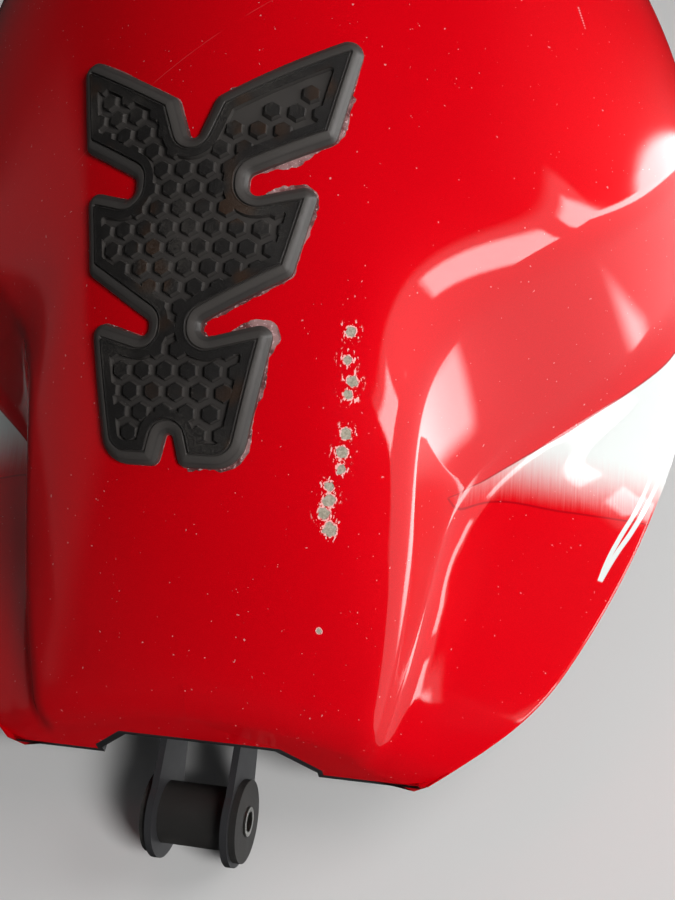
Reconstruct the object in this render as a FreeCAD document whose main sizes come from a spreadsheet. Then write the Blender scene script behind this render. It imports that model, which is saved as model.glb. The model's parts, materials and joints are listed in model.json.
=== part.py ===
import FreeCAD, Part
import Sketcher
import math
import os

# Fuel tank of a sport motorcycle as it comes off the frame, with its rubber pad, in millimetres.
# +X points forward, +Y to the rider's left and +Z up. The origin is the centre of the rear mounting bore.

Vector = FreeCAD.Vector
Rotation = FreeCAD.Rotation
Placement = FreeCAD.Placement
ALONG_Y = Vector(0, 1, 0)
# How far cutting tools run past what they cut, and how far layers start inside what they lie on.
OVERRUN = 10
SUNK = 3

doc = FreeCAD.newDocument("fuel_tank")
sheet = doc.addObject("Spreadsheet::Sheet", "sizes")

# Driving dimensions: alias, value in millimetres, degrees or a plain count.
SIZES = [
    ("tail_x", 20), ("nose_x", 478),
    ("under_tail_z", 10), ("under_rise_deg", 6.3),
    ("pan_wall", 2.5), ("pan_inset", 5),
    ("tunnel_half", 52), ("tunnel_corner", 16), ("roof_tail_z", 30), ("roof_rise_deg", 9.9),
    ("pad_x", 160), ("pad_y", 6.7), ("pad_slope_deg", 34), ("pad_corner", 2.5),
    ("skirt_thick", 1.8), ("skirt_width", 6.4), ("rim_thick", 4), ("rim_width", 1.4), ("field_thick", 2.4),
    ("stud_pitch", 9.5), ("stud_flats", 5.8), ("stud_rise", 1.4), ("stud_clear", 0.2), ("plain_strip", 15),
    ("filler_x", 375), ("seat_depth", 11), ("seat_gap", 1),
    ("ring_radius", 61), ("ring_bevel", 4), ("ring_height", 12), ("ring_floor", 4),
    ("neck_bore", 25), ("neck_wall", 2), ("neck_length", 62), ("neck_gap", 0.3),
    ("lid_radius", 44), ("lid_thick", 6), ("lid_gap", 0.8), ("hinge_reach", 50), ("hinge_drop", 3),
    ("slot_run", 3), ("knuckle_radius", 3.6), ("knuckle_width", 15), ("hinge_gap", 1), ("pin_radius", 2),
    ("pin_fit", 0.15), ("hinge_pin_length", 26), ("gasket_radius", 30), ("gasket_gap", 0.3), ("plug_radius", 20), ("plug_drop", 10),
    ("plug_chamfer", 2),
    ("lock_radius", 8), ("lock_rise", 1.2), ("flap_length", 30), ("flap_width", 18), ("flap_thick", 2),
    ("flap_gap", 0.3), ("pivot_radius", 2), ("pivot_back", 14), ("pivot_cap_radius", 3.2), ("pivot_cap_rise", 1),
    ("rear_hole", 13), ("ear_gap", 30), ("plate_thick", 3), ("ear_radius", 19), ("ear_toe", 6),
    ("ear_front", 23), ("ear_foot", 1.9), ("ear_back", 6.65), ("ear_rise", 33.25),
    ("rear_plate_back", 4), ("rear_plate_length", 56), ("rear_plate_half", 24), ("lip_reach", 4), ("lip_thick", 3),
    ("collar_radius", 6), ("bolt_bore", 4.2), ("collar_proud", 1), ("fit_gap", 0.1),
    ("front_grip", 60), ("front_reach", 46), ("front_flare", 6), ("front_half", 48), ("front_neck", 30),
    ("front_corner", 12), ("front_hole_reach", 28), ("front_hole_side", 30), ("front_hole", 11),
    ("pump_x", 275), ("pump_y", 122), ("flange_radius", 50), ("flange_thick", 3), ("boss_radius", 30),
    ("boss_height", 16), ("boss_chamfer", 2), ("clamp_radius", 60), ("clamp_lip", 5), ("clamp_thick", 6),
    ("outlet_radius", 4), ("outlet_bore", 2.5), ("outlet_length", 34), ("outlet_plain", 22), ("outlet_bead", 5.9),
    ("outlet_root", 5), ("outlet_foot", 2), ("outlet_sunk", 3), ("outlet_drop", 12), ("bead_thick", 2),
    ("tip_chamfer", 0.8),
    ("plug_box_length", 24), ("plug_box_width", 16), ("plug_box_height", 14), ("plug_box_wall", 2),
    ("spigot_x", 92), ("spigot_y", 78), ("spigot_radius", 3.5), ("spigot_bore", 2), ("spigot_bead", 4.6),
    ("spigot_length", 20), ("spigot_plain", 13), ("spigot_foot", 8), ("spigot_foot_thick", 2),
    ("rest_x", 350), ("rest_length", 46), ("rest_height", 16), ("rest_thick", 6), ("rest_lift", 1), ("rest_chamfer", 3),
]
for row, (alias, value) in enumerate(SIZES, start=1):
    sheet.set("A%d" % row, alias)
    sheet.set("B%d" % row, str(value))
    sheet.setAlias("B%d" % row, alias)
doc.recompute()


def size(alias):
    """Value of one driving dimension."""
    return float(sheet.get(alias))


# Cross-sections of the shell from tail to nose. Heights are from the origin.
# x: station, top: height of the crown, crown_r: its radius up to crown_half from the middle, flank_r: radius
# from there to the shoulder, lean: lean of the side wall in degrees, shoulder_r: radius between flank and wall,
# fold_w and fold_z: foot of the wall, fold_cut: length of the hollow rounding each side of it,
# ledge_w and ledge_z: end of the flare, edge_w: half width at the pinch.
STATIONS = [
    # x, top, crown_r, crown_half, flank_r, lean, shoulder_r, fold_w, fold_z, fold_cut, ledge_w, ledge_z, edge_w
    (size("tail_x"), 56, 140, 40, 140, 18, 14, 77, 24, 3, 86, 19, 98),
    (50, 91, 118, 60, 118, 14, 28, 86, 40, 6, 100, 31, 133),
    (85, 129, 112, 60, 112, 9, 38, 92, 52, 8, 108, 42, 157),
    (125, 165, 118, 60, 118, 12, 40, 101, 60, 9, 118, 50, 176),
    (165, 193, 126, 60, 135, 20, 42, 130, 68, 9, 150, 56, 191),
    (205, 220, 134, 60, 420, 20, 42, 172, 77, 9, 190, 62, 202),
    (250, 248, 150, 60, 320, 18, 40, 199, 88, 8, 208, 69, 208),
    (310, 277, 180, 60, 250, 13, 38, 209, 100, 8, 216, 80, 208),
    (375, 287, 200, 60, 200, 15, 36, 189, 110, 8, 196, 90, 184),
    (430, 277, 168, 60, 168, 18, 33, 151, 116, 8, 159, 96, 146),
    (size("nose_x"), 253, 120, 50, 120, 20, 28, 106, 120, 8, 114, 101, 102),
]

# Half outline of the pad, laid flat: across from its middle line, along from its centre, forward positive.
PAD_HALF = [
    # across, along
    (0, 33.3), (8.3, 55.5), (62, 85), (53.8, 37.8), (24, 21.9), (24, 12.6), (50.8, 20), (44.2, -17.5),
    (11.3, -38.6), (11.3, -45.2), (39.8, -37), (30.2, -88.2), (22, -94.6), (4.6, -96), (0, -77.6),
]


def tilted(degrees):
    """Turn about Y that lifts +X by the given angle."""
    return Rotation(Vector(0, 1, 0), -degrees)


def under_z(x):
    """Height of the flat underside of the shell at a station."""
    return size("under_tail_z") + math.tan(math.radians(size("under_rise_deg"))) * (x - size("tail_x"))


def roof_z(x):
    """Height of the tunnel roof at a station."""
    return size("roof_tail_z") + math.tan(math.radians(size("roof_rise_deg"))) * (x - size("tail_x"))


def unit(y, z):
    """Direction in the section plane, of length one."""
    length = math.hypot(y, z)
    return y / length, z / length


def crown_profile(station, offset):
    """Crown and flank of a section, a distance above it: centre and radius of each arc, and where they meet."""
    top, crown_r, crown_half, flank_r = station[1:5]
    crown_centre = Vector(0, 0, top - crown_r)
    turn = math.asin(crown_half / crown_r)
    out = Vector(0, math.sin(turn), math.cos(turn))
    flank_centre = crown_centre + out * (crown_r - flank_r)
    return crown_centre, crown_r + offset, flank_centre, flank_r + offset, turn


def on_arc(centre, radius, turn, x, side):
    """Point of an arc at a turn from the vertical, on one side of the middle plane."""
    return Vector(x, side * (centre.y + math.sin(turn) * radius), centre.z + math.cos(turn) * radius)


def half_section(station):
    """Named points of one side of a cross-section, as (y, z) pairs from the crown to the pinch edge."""
    x = station[0]
    lean, shoulder_r, fold_w, fold_z, fold_cut, ledge_w, ledge_z, edge_w = station[5:]
    lean = math.radians(lean)
    up_y, up_z = -math.sin(lean), math.cos(lean)
    crown_centre, crown_r, flank_centre, flank_r, crown_turn = crown_profile(station, 0)
    # centre of the shoulder, one radius inside the wall and inside the flank
    base_y = fold_w - math.cos(lean) * shoulder_r - flank_centre.y
    base_z = fold_z - math.sin(lean) * shoulder_r - flank_centre.z
    along = base_y * up_y + base_z * up_z
    rest = base_y ** 2 + base_z ** 2 - (flank_r - shoulder_r) ** 2
    reach = -along + math.sqrt(along ** 2 - rest)
    centre_y = base_y + up_y * reach + flank_centre.y
    centre_z = base_z + up_z * reach + flank_centre.z
    out_y, out_z = unit(centre_y - flank_centre.y, centre_z - flank_centre.z)
    flank_turn = math.atan2(out_y, out_z)
    crown_end = on_arc(crown_centre, crown_r, crown_turn, 0, 1)
    flank_mid = on_arc(flank_centre, flank_r, (crown_turn + flank_turn) / 2, 0, 1)
    flank_end = on_arc(flank_centre, flank_r, flank_turn, 0, 1)
    wall_y, wall_z = math.cos(lean), math.sin(lean)
    wall_top = (centre_y + wall_y * shoulder_r, centre_z + wall_z * shoulder_r)
    mid_y, mid_z = unit(out_y + wall_y, out_z + wall_z)
    shoulder_mid = (centre_y + mid_y * shoulder_r, centre_z + mid_z * shoulder_r)
    # hollow rounding between the wall and the flare
    flare_y, flare_z = unit(ledge_w - fold_w, ledge_z - fold_z)
    fold_top = (fold_w + up_y * fold_cut, fold_z + up_z * fold_cut)
    fold_foot = (fold_w + flare_y * fold_cut, fold_z + flare_z * fold_cut)
    turn = math.acos(-(up_y * flare_y + up_z * flare_z))
    bisect_y, bisect_z = unit(up_y + flare_y, up_z + flare_z)
    inset = fold_cut / math.tan(turn / 2) * (1 / math.cos(turn / 2) - 1)
    fold_mid = (fold_w + bisect_y * inset, fold_z + bisect_z * inset)
    return {
        "crown_end": (crown_end.y, crown_end.z), "flank_mid": (flank_mid.y, flank_mid.z),
        "flank_end": (flank_end.y, flank_end.z), "shoulder_mid": shoulder_mid, "wall_top": wall_top,
        "fold_top": fold_top, "fold_mid": fold_mid, "fold_foot": fold_foot, "ledge": (ledge_w, ledge_z),
        "edge": (edge_w, under_z(x)),
    }


def section_wire(station):
    """Closed cross-section of the shell at one station."""
    x, top = station[:2]
    half = half_section(station)

    def point(name, side):
        y, z = half[name]
        return Vector(x, side * y, z)

    # runs of one side from the pinch up to the crown: a line has two ends, an arc a middle point as well
    runs = [("edge", "ledge"), ("ledge", "fold_foot"), ("fold_foot", "fold_mid", "fold_top"),
            ("fold_top", "wall_top"), ("wall_top", "shoulder_mid", "flank_end"),
            ("flank_end", "flank_mid", "crown_end")]
    edges = [Part.LineSegment(point("edge", -1), point("edge", 1)).toShape()]
    edges += [run_edge([point(name, 1) for name in run]) for run in runs]
    edges.append(Part.Arc(point("crown_end", 1), Vector(x, 0, top), point("crown_end", -1)).toShape())
    edges += [run_edge([point(name, -1) for name in reversed(run)]) for run in reversed(runs)]
    return Part.Wire(edges)


def run_edge(points):
    """Line through two points, or arc through three."""
    if len(points) == 2:
        return Part.LineSegment(*points).toShape()
    return Part.Arc(*points).toShape()


def crown_height(body, x):
    """Height of the outer surface above a station on the middle plane."""
    ray = Part.makeLine(Vector(x, 0, under_z(x) + 1), Vector(x, 0, size("nose_x") + size("tunnel_half")))
    return body.common(ray).BoundBox.ZMax


def tunnel(wall):
    """Straight tunnel for the frame's backbone, narrowed all round by a wall."""
    wires = []
    for x in (size("tail_x") - OVERRUN, size("nose_x") + OVERRUN):
        half = size("tunnel_half") - wall
        corner = size("tunnel_corner")
        roof = roof_z(x) - wall
        foot = under_z(x) - 2 * OVERRUN
        corners = [(-half, foot), (half, foot), (half, roof - corner), (half - corner, roof),
                   (corner - half, roof), (-half, roof - corner)]
        points = [Vector(x, y, z) for y, z in corners]
        wires.append(Part.makePolygon(points + points[:1]))
    return Part.makeLoft(wires, True, True)


def feature(label, shape):
    """Free-form piece that no primitive or feature makes."""
    piece = doc.addObject("Part::Feature", label)
    piece.Label = label
    piece.Shape = shape
    return piece


# Shell
outer = Part.makeLoft([section_wire(station) for station in STATIONS], True, False, False, 3)
crown_z = crown_height(outer, size("filler_x"))
seat_z = crown_z - size("seat_depth")
seat_cut = Part.makeCylinder(size("ring_radius") + size("seat_gap"), size("seat_depth") + OVERRUN,
                             Vector(size("filler_x"), 0, seat_z))
well_radius = size("neck_bore") + size("neck_wall") + size("neck_gap")
well_cut = Part.makeCylinder(well_radius, size("neck_length") + 1,
                             Vector(size("filler_x"), 0, seat_z - size("neck_length") - 1))
shell = outer.cut(tunnel(0)).cut(seat_cut.fuse(well_cut))
feature("tank_shell", shell)

# Underside pan: a flat plate on the shell's edge and the lining of the tunnel
plate_wires = []
for station in STATIONS:
    x, edge = station[0], station[-1] - size("pan_inset")
    low, high = under_z(x) - size("pan_wall"), under_z(x)
    corners = [Vector(x, -edge, low), Vector(x, edge, low), Vector(x, edge, high), Vector(x, -edge, high)]
    plate_wires.append(Part.makePolygon(corners + corners[:1]))
plate = Part.makeLoft(plate_wires, True, True)
lining = tunnel(0).cut(tunnel(size("pan_wall"))).common(outer.fuse(plate))
feature("tank_pan", plate.cut(tunnel(0)).fuse(lining).removeSplitter())

# Rubber pad on the rear of the crown
pad_frame = Placement(Vector(size("pad_x"), size("pad_y"), crown_height(outer, size("pad_x"))),
                      tilted(size("pad_slope_deg")))


def slab(rise):
    """Layer that follows the crown, from just inside the shell to a height above it."""
    grow = rise / math.cos(math.radians(size("pad_slope_deg")))
    half_width = max(across for across, along in PAD_HALF) + size("pad_y") + OVERRUN
    wires = []
    for station in STATIONS[1:8]:
        x = station[0]
        outlines = []
        for offset in (grow, -SUNK):
            crown_centre, crown_r, flank_centre, flank_r, turn = crown_profile(station, offset)
            end = math.asin((half_width - flank_centre.y) / flank_r)
            flank = [on_arc(flank_centre, flank_r, angle, x, 1) for angle in (end, (end + turn) / 2, turn)]
            crown = [on_arc(crown_centre, crown_r, angle, x, 1) for angle in (turn, 0, -turn)]
            mirrored = [Vector(x, -point.y, point.z) for point in reversed(flank)]
            outlines.append([flank, crown, mirrored])
        over, below = outlines
        edges = [run_edge(run) for run in over]
        edges.append(run_edge([over[-1][-1], below[-1][-1]]))
        edges += [run_edge(list(reversed(run))) for run in reversed(below)]
        edges.append(run_edge([below[0][0], over[0][0]]))
        wires.append(Part.Wire(edges))
    return Part.makeLoft(wires, True, False, False, 3)


def pad_wire(inset):
    """Outline of the pad laid flat, drawn in by an inset, its corners rounded."""
    points = [Vector(along, across, 0) for across, along in PAD_HALF]
    points += [Vector(along, -across, 0) for across, along in reversed(PAD_HALF[1:-1])]
    radius = size("pad_corner")
    wire = Part.makePolygon(points + points[:1]).makeOffset2D(-radius - inset)
    return wire.makeOffset2D(2 * radius).makeOffset2D(-radius)


def across_crown(face):
    """Prism of a flat face through the crown, both ways from the pad's own plane."""
    prism = face.extrude(Vector(0, 0, 6 * OVERRUN))
    prism.translate(Vector(0, 0, -5 * OVERRUN))
    prism.Placement = pad_frame.multiply(prism.Placement)
    return prism


def stud_spots():
    """Centres of the studs, laid flat, on a staggered lattice inside the rim, with one strip left plain."""
    outline = pad_wire(size("skirt_width") + size("rim_width"))
    field = Part.Face(outline)
    edge_room = size("stud_flats") / math.sqrt(3) + size("stud_clear")
    strip_start, strip_end = [Vector(along, -across, 0) for across, along in PAD_HALF[1:3]]
    strip = (strip_end - strip_start).normalize()
    pitch = size("stud_pitch")
    row_pitch = pitch * math.sqrt(3) / 2
    reach = max(abs(along) for across, along in PAD_HALF)
    rows, columns = int(reach / row_pitch), int(reach / pitch)
    spots = []
    for row in range(-rows, rows + 1):
        for column in range(-columns, columns + 1):
            spot = Vector(row * row_pitch, (column + row % 2 / 2) * pitch, 0)
            beside_strip = spot.y < 0 and (spot - strip_start).cross(strip).Length < size("plain_strip")
            if beside_strip or not field.isInside(spot, size("fit_gap"), True):
                continue
            if outline.distToShape(Part.Vertex(spot))[0] > edge_room:
                spots.append(spot)
    return spots


def stud(spot, surface, bend):
    """Hexagonal stud that stands square on the field, its foot on the field's surface."""
    drop = bend - math.sqrt(bend ** 2 - (spot.y + size("pad_y")) ** 2)
    near = pad_frame.multVec(spot + Vector(0, 0, size("field_thick") - drop))
    u, v = surface.parameter(near)
    foot, normal = surface.value(u, v), surface.normal(u, v)
    if normal.z < 0:
        normal = -normal
    corner = size("stud_flats") / math.sqrt(3)
    turns = [math.radians(60 * k) for k in range(7)]
    corners = [Vector(math.cos(turn) * corner, math.sin(turn) * corner, 0) for turn in turns]
    prism = Part.Face(Part.makePolygon(corners)).extrude(Vector(0, 0, size("stud_rise")))
    lean = Rotation(pad_frame.Rotation.multVec(Vector(0, 0, 1)), normal)
    prism.Placement = Placement(foot + normal * size("fit_gap"), lean.multiply(pad_frame.Rotation))
    return prism


def upper(shape):
    """Highest solid of a shape."""
    return max(shape.Solids, key=lambda solid: solid.CenterOfMass.z)


pad_blank = upper(slab(size("rim_thick")).common(across_crown(Part.Face(pad_wire(0)))).cut(outer))
round_rim = across_crown(Part.Face(pad_wire(-size("skirt_width"))))
round_rim = round_rim.cut(across_crown(Part.Face(pad_wire(size("skirt_width")))))
over_skirt = upper(round_rim.cut(slab(size("skirt_thick"))))
field_slab = slab(size("field_thick"))
over_field = upper(across_crown(Part.Face(pad_wire(size("skirt_width") + size("rim_width")))).cut(field_slab))
feature("tank_pad", pad_blank.cut(over_skirt).cut(over_field).removeSplitter())
field_face = max(field_slab.Faces, key=lambda face: face.Area)
crown_bend = [station[2] for station in STATIONS if station[0] <= size("pad_x")][-1] + size("field_thick")
feature("pad_studs", Part.makeCompound([stud(spot, field_face.Surface, crown_bend) for spot in stud_spots()]))


def sketch_outline(body, role, corners):
    """Closed outline on one of the body's own planes. Corners are pairs of expressions over the sheet."""
    sketch = body.newObject("Sketcher::SketchObject", body.Name + "_outline")
    plane = [item for item in body.Origin.OriginFeatures if item.Role == role][0]
    sketch.AttachmentSupport = [(plane, "")]
    sketch.MapMode = "FlatFace"
    count = len(corners)
    turn = 2 * math.pi / count
    start = [Vector(20 + 10 * math.cos(k * turn), 20 + 10 * math.sin(k * turn), 0) for k in range(count)]
    for k in range(count):
        sketch.addGeometry(Part.LineSegment(start[k], start[(k + 1) % count]), False)
    for k in range(count):
        sketch.addConstraint(Sketcher.Constraint("Coincident", k, 2, (k + 1) % count, 1))
    for k, corner in enumerate(corners):
        for kind, axis, expression in (("DistanceX", -2, corner[0]), ("DistanceY", -1, corner[1])):
            if expression == "0":
                sketch.addConstraint(Sketcher.Constraint("PointOnObject", k, 1, axis))
            else:
                index = sketch.addConstraint(Sketcher.Constraint(kind, -1, 1, k, 1, 10.0))
                sketch.setExpression("Constraints[%d]" % index, expression)
    return sketch


def new_body(label):
    """Empty body with a label of its own."""
    body = doc.addObject("PartDesign::Body", label)
    body.Label = label
    return body


def turned(label, corners, place):
    """Piece turned about its own Z axis from a closed half profile of (radius, height) expressions."""
    body = new_body(label)
    sketch = sketch_outline(body, "XZ_Plane", corners)
    turn = body.newObject("PartDesign::Revolution", label + "_turn")
    turn.Profile = sketch
    turn.ReferenceAxis = (sketch, ["V_Axis"])
    turn.Angle = 360
    body.Placement = place
    sketch.Visibility = False
    return body


def on_axis(direction, origin):
    """Placement that turns a piece's own Z axis into a direction."""
    return Placement(origin, Rotation(Vector(0, 0, 1), direction))


def padded(label, role, corners, depth, place):
    """Plate with a closed outline on one of the body's planes, thickened equally both ways."""
    body = new_body(label)
    sketch = sketch_outline(body, role, corners)
    pad = body.newObject("PartDesign::Pad", label + "_pad")
    pad.Profile = sketch
    pad.setExpression("Length", depth)
    pad.Midplane = True
    body.Placement = place
    sketch.Visibility = False
    return body


def cylinder(label, radius, height, place):
    """Plain cylinder bound to the sheet, along its own Z axis."""
    tool = doc.addObject("Part::Cylinder", label)
    tool.setExpression("Radius", radius)
    tool.setExpression("Height", height)
    tool.Placement = place
    return tool


def box(label, length, width, height, place):
    """Plain block bound to the sheet."""
    tool = doc.addObject("Part::Box", label)
    tool.setExpression("Length", length)
    tool.setExpression("Width", width)
    tool.setExpression("Height", height)
    tool.Placement = place
    return tool


def joined(label, pieces):
    """One solid out of several."""
    whole = doc.addObject("Part::MultiFuse", label)
    whole.Label = label
    whole.Shapes = pieces
    whole.Refine = True
    return whole


def cut(label, base, tools):
    """Base with tools taken away."""
    tool = tools[0]
    if len(tools) > 1:
        tool = joined(label + "_tools", tools)
    piece = doc.addObject("Part::Cut", label)
    piece.Label = label
    piece.Base = base
    piece.Tool = tool
    piece.Refine = True
    return piece


# Filler: neck, ring, lid with its seal and lock, and the flap over the key
seat = Placement(Vector(size("filler_x"), 0, seat_z), Rotation())


def over_seat(x, y, z):
    """Placement above the floor of the filler's seat."""
    return Placement(Vector(size("filler_x") + x, y, seat_z + z), Rotation())


turned("filler_neck", [
    ("sizes.neck_bore", "0"), ("sizes.neck_bore + sizes.neck_wall", "0"),
    ("sizes.neck_bore + sizes.neck_wall", "sizes.neck_length"), ("sizes.neck_bore", "sizes.neck_length"),
], over_seat(0, 0, -size("neck_length")))

ring = turned("ring_blank", [
    ("sizes.neck_bore", "0"), ("sizes.ring_radius", "0"),
    ("sizes.ring_radius", "sizes.ring_height - sizes.ring_bevel"),
    ("sizes.ring_radius - sizes.ring_bevel", "sizes.ring_height"),
    ("sizes.lid_radius + sizes.lid_gap", "sizes.ring_height"), ("sizes.lid_radius + sizes.lid_gap", "sizes.ring_floor"),
    ("sizes.neck_bore", "sizes.ring_floor"),
], seat)
pin_z = size("ring_height") - size("hinge_drop")
slot_half = size("knuckle_width") / 2 + size("hinge_gap")
slot_reach = size("knuckle_radius") + size("hinge_gap")
slot = box("hinge_slot", "2 * (sizes.knuckle_radius + sizes.hinge_gap) + sizes.slot_run",
           "sizes.knuckle_width + 2 * sizes.hinge_gap", "sizes.ring_height",
           over_seat(size("hinge_reach") - slot_reach - size("slot_run"), -slot_half, pin_z - slot_reach))


def hinge_rod(label, radius, length):
    """Rod centred on the lid's hinge axis."""
    start = Vector(size("filler_x") + size("hinge_reach"), -size(length) / 2, seat_z + pin_z)
    return cylinder(label, radius, "sizes." + length, on_axis(ALONG_Y, start))


cut("filler_ring", ring, [slot, hinge_rod("ring_pin_hole", "sizes.pin_radius", "hinge_pin_length")])
hinge_pin = hinge_rod("hinge_pin", "sizes.pin_radius", "hinge_pin_length")
hinge_pin.Label = "hinge_pin"
lid_foot = size("ring_height") - size("lid_thick")
lid_disc = cylinder("lid_disc", "sizes.lid_radius", "sizes.lid_thick", over_seat(0, 0, lid_foot))
lid_tab = box("lid_tab", "sizes.hinge_reach", "sizes.knuckle_width", "sizes.lid_thick",
              over_seat(0, -size("knuckle_width") / 2, lid_foot))
knuckle = hinge_rod("lid_knuckle", "sizes.knuckle_radius", "knuckle_width")
lid = joined("lid_blank", [lid_disc, lid_tab, knuckle])
cut("filler_cap", lid, [hinge_rod("lid_pin_hole", "sizes.pin_radius + sizes.pin_fit", "hinge_pin_length")])

gasket_foot = "sizes.plug_drop + sizes.ring_floor + sizes.gasket_gap"
gasket_top = "sizes.plug_drop + sizes.ring_height - sizes.lid_thick"
turned("cap_plug", [
    ("0", "0"), ("sizes.plug_radius - sizes.plug_chamfer", "0"), ("sizes.plug_radius", "sizes.plug_chamfer"),
    ("sizes.plug_radius", gasket_foot),
    ("sizes.gasket_radius", gasket_foot), ("sizes.gasket_radius", gasket_top), ("0", gasket_top),
], over_seat(0, 0, -size("plug_drop")))

cylinder("lock_barrel", "sizes.lock_radius", "sizes.lock_rise", over_seat(0, 0, size("ring_height")))
flap_foot = size("lock_rise") + size("flap_gap")
turned("flap_pivot", [
    ("0", "0"), ("sizes.pivot_radius", "0"),
    ("sizes.pivot_radius", "sizes.lock_rise + 2 * sizes.flap_gap + sizes.flap_thick"),
    ("sizes.pivot_cap_radius", "sizes.lock_rise + 2 * sizes.flap_gap + sizes.flap_thick"),
    ("sizes.pivot_cap_radius", "sizes.lock_rise + 2 * sizes.flap_gap + sizes.flap_thick + sizes.pivot_cap_rise"),
    ("0", "sizes.lock_rise + 2 * sizes.flap_gap + sizes.flap_thick + sizes.pivot_cap_rise"),
], over_seat(-size("pivot_back"), 0, size("ring_height")))
flap_z = size("ring_height") + flap_foot
flap_bar = box("flap_bar", "sizes.flap_length - sizes.flap_width", "sizes.flap_width", "sizes.flap_thick",
               over_seat(-size("pivot_back"), -size("flap_width") / 2, flap_z))
flap_heel = cylinder("flap_heel", "sizes.flap_width / 2", "sizes.flap_thick", over_seat(-size("pivot_back"), 0, flap_z))
flap_toe = cylinder("flap_toe", "sizes.flap_width / 2", "sizes.flap_thick",
                    over_seat(size("flap_length") - size("flap_width") - size("pivot_back"), 0, flap_z))
flap_hole = cylinder("flap_hole", "sizes.pivot_radius + sizes.pin_fit", "3 * sizes.flap_thick",
                     over_seat(-size("pivot_back"), 0, flap_z - size("flap_thick")))
cut("key_flap", joined("flap_blank", [flap_bar, flap_heel, flap_toe]), [flap_hole])

# Rear mount: bracket under the tunnel roof, rubber bush and steel collar
def lining_point(x):
    """Point on the inner face of the tunnel roof, on the middle plane."""
    return Vector(x, 0, roof_z(x) - size("pan_wall"))


rear_frame = Placement(lining_point(size("tail_x") + size("rear_plate_back")), tilted(size("roof_rise_deg")))
rear_plate = box("rear_plate", "sizes.rear_plate_length", "2 * sizes.rear_plate_half", "sizes.plate_thick",
                 rear_frame.multiply(Placement(Vector(0, -size("rear_plate_half"), -size("plate_thick")), Rotation())))
plate_mid = "sizes.ear_radius + sizes.roof_tail_z - sizes.pan_wall - sizes.plate_thick / 2"
ear_end = "(sizes.rear_plate_back + sizes.rear_plate_length - sizes.plate_thick)"
ear_blank = padded("ear_blank", "XZ_Plane", [
    ("sizes.ear_front", "sizes.ear_foot"),
    ("sizes.ear_radius + sizes.tail_x + " + ear_end,
     plate_mid + " - sizes.ear_toe + tan(sizes.roof_rise_deg) * " + ear_end),
    ("sizes.ear_radius + sizes.tail_x + " + ear_end, plate_mid + " + tan(sizes.roof_rise_deg) * " + ear_end),
    ("sizes.ear_radius + sizes.tail_x + sizes.rear_plate_back",
     plate_mid + " + tan(sizes.roof_rise_deg) * sizes.rear_plate_back"),
    ("sizes.ear_back", "sizes.ear_rise"),
], "sizes.ear_gap + 2 * sizes.plate_thick", Placement(Vector(-size("ear_radius"), 0, -size("ear_radius")), Rotation()))


def cross_rod(label, radius, length):
    """Rod along the rear bolt's axis, centred on the middle plane."""
    rod = cylinder(label, radius, length, Placement())
    doc.recompute()
    rod.Placement = on_axis(ALONG_Y, Vector(0, -rod.Height.Value / 2, 0))
    return rod


ear_eye = cross_rod("ear_eye", "sizes.ear_radius", "sizes.ear_gap + 2 * sizes.plate_thick")
ear_hole = cross_rod("ear_hole", "sizes.rear_hole", "sizes.ear_gap + 4 * sizes.plate_thick")
gap_height = "sizes.roof_tail_z + sizes.ear_radius + sizes.rear_plate_length"
ear_slot = box("ear_slot", "2 * sizes.rear_plate_length + 2 * sizes.ear_radius", "sizes.ear_gap", gap_height,
               Placement(Vector(-size("ear_radius") - OVERRUN, -size("ear_gap") / 2, -size("ear_radius") - OVERRUN),
                         Rotation()))
ears = cut("rear_ears", joined("ear_pair", [ear_blank, ear_eye]), [ear_slot, ear_hole])
joined("rear_bracket", [ears, rear_plate])


def bush_profile(hole, stack):
    """Half profile of a rubber bush with a lip each side of the stack it holds."""
    bore, waist = "sizes.collar_radius + sizes.fit_gap", hole + " - sizes.fit_gap"
    low, high, end = "sizes.lip_thick", "sizes.lip_thick + " + stack, "2 * sizes.lip_thick + " + stack
    lip = hole + " + sizes.lip_reach"
    return [(bore, "0"), (lip, "0"), (lip, low), (waist, low), (waist, high), (lip, high), (lip, end), (bore, end)]


def collar_profile(stack):
    """Half profile of the steel collar through a bush, standing proud of both lips."""
    end = stack + " + 2 * sizes.lip_thick + 2 * sizes.collar_proud"
    return [("sizes.bolt_bore", "0"), ("sizes.collar_radius", "0"), ("sizes.collar_radius", end), ("sizes.bolt_bore", end)]


rear_stack = "(sizes.ear_gap + 2 * sizes.plate_thick)"
half_bush = size("ear_gap") / 2 + size("plate_thick") + size("lip_thick")
turned("rear_bush", bush_profile("sizes.rear_hole", rear_stack), on_axis(ALONG_Y, Vector(0, -half_bush, 0)))
turned("rear_collar", collar_profile(rear_stack),
       on_axis(ALONG_Y, Vector(0, -half_bush - size("collar_proud"), 0)))

# Front mount: bracket plate out of the tunnel with a bush and collar each side
front_frame = Placement(lining_point(size("nose_x")), tilted(size("roof_rise_deg")))
near, far = "sizes.front_half - sizes.front_neck", "sizes.front_half + sizes.front_neck"
bend, tip = "sizes.front_grip + sizes.front_flare", "sizes.front_grip + sizes.front_reach"
corner = "sizes.front_corner"
front_blank = padded("front_blank", "XY_Plane", [
    ("0", near), ("sizes.front_grip", near), (bend, "0"), (tip + " - " + corner, "0"), (tip, corner),
    (tip, "2 * sizes.front_half - " + corner), (tip + " - " + corner, "2 * sizes.front_half"),
    (bend, "2 * sizes.front_half"), ("sizes.front_grip", far), ("0", far),
], "sizes.plate_thick", front_frame.multiply(
    Placement(Vector(-size("front_grip"), -size("front_half"), -size("plate_thick") / 2), Rotation())))
front_holes = []
SIDES = (("left", 1), ("right", -1))


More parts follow.
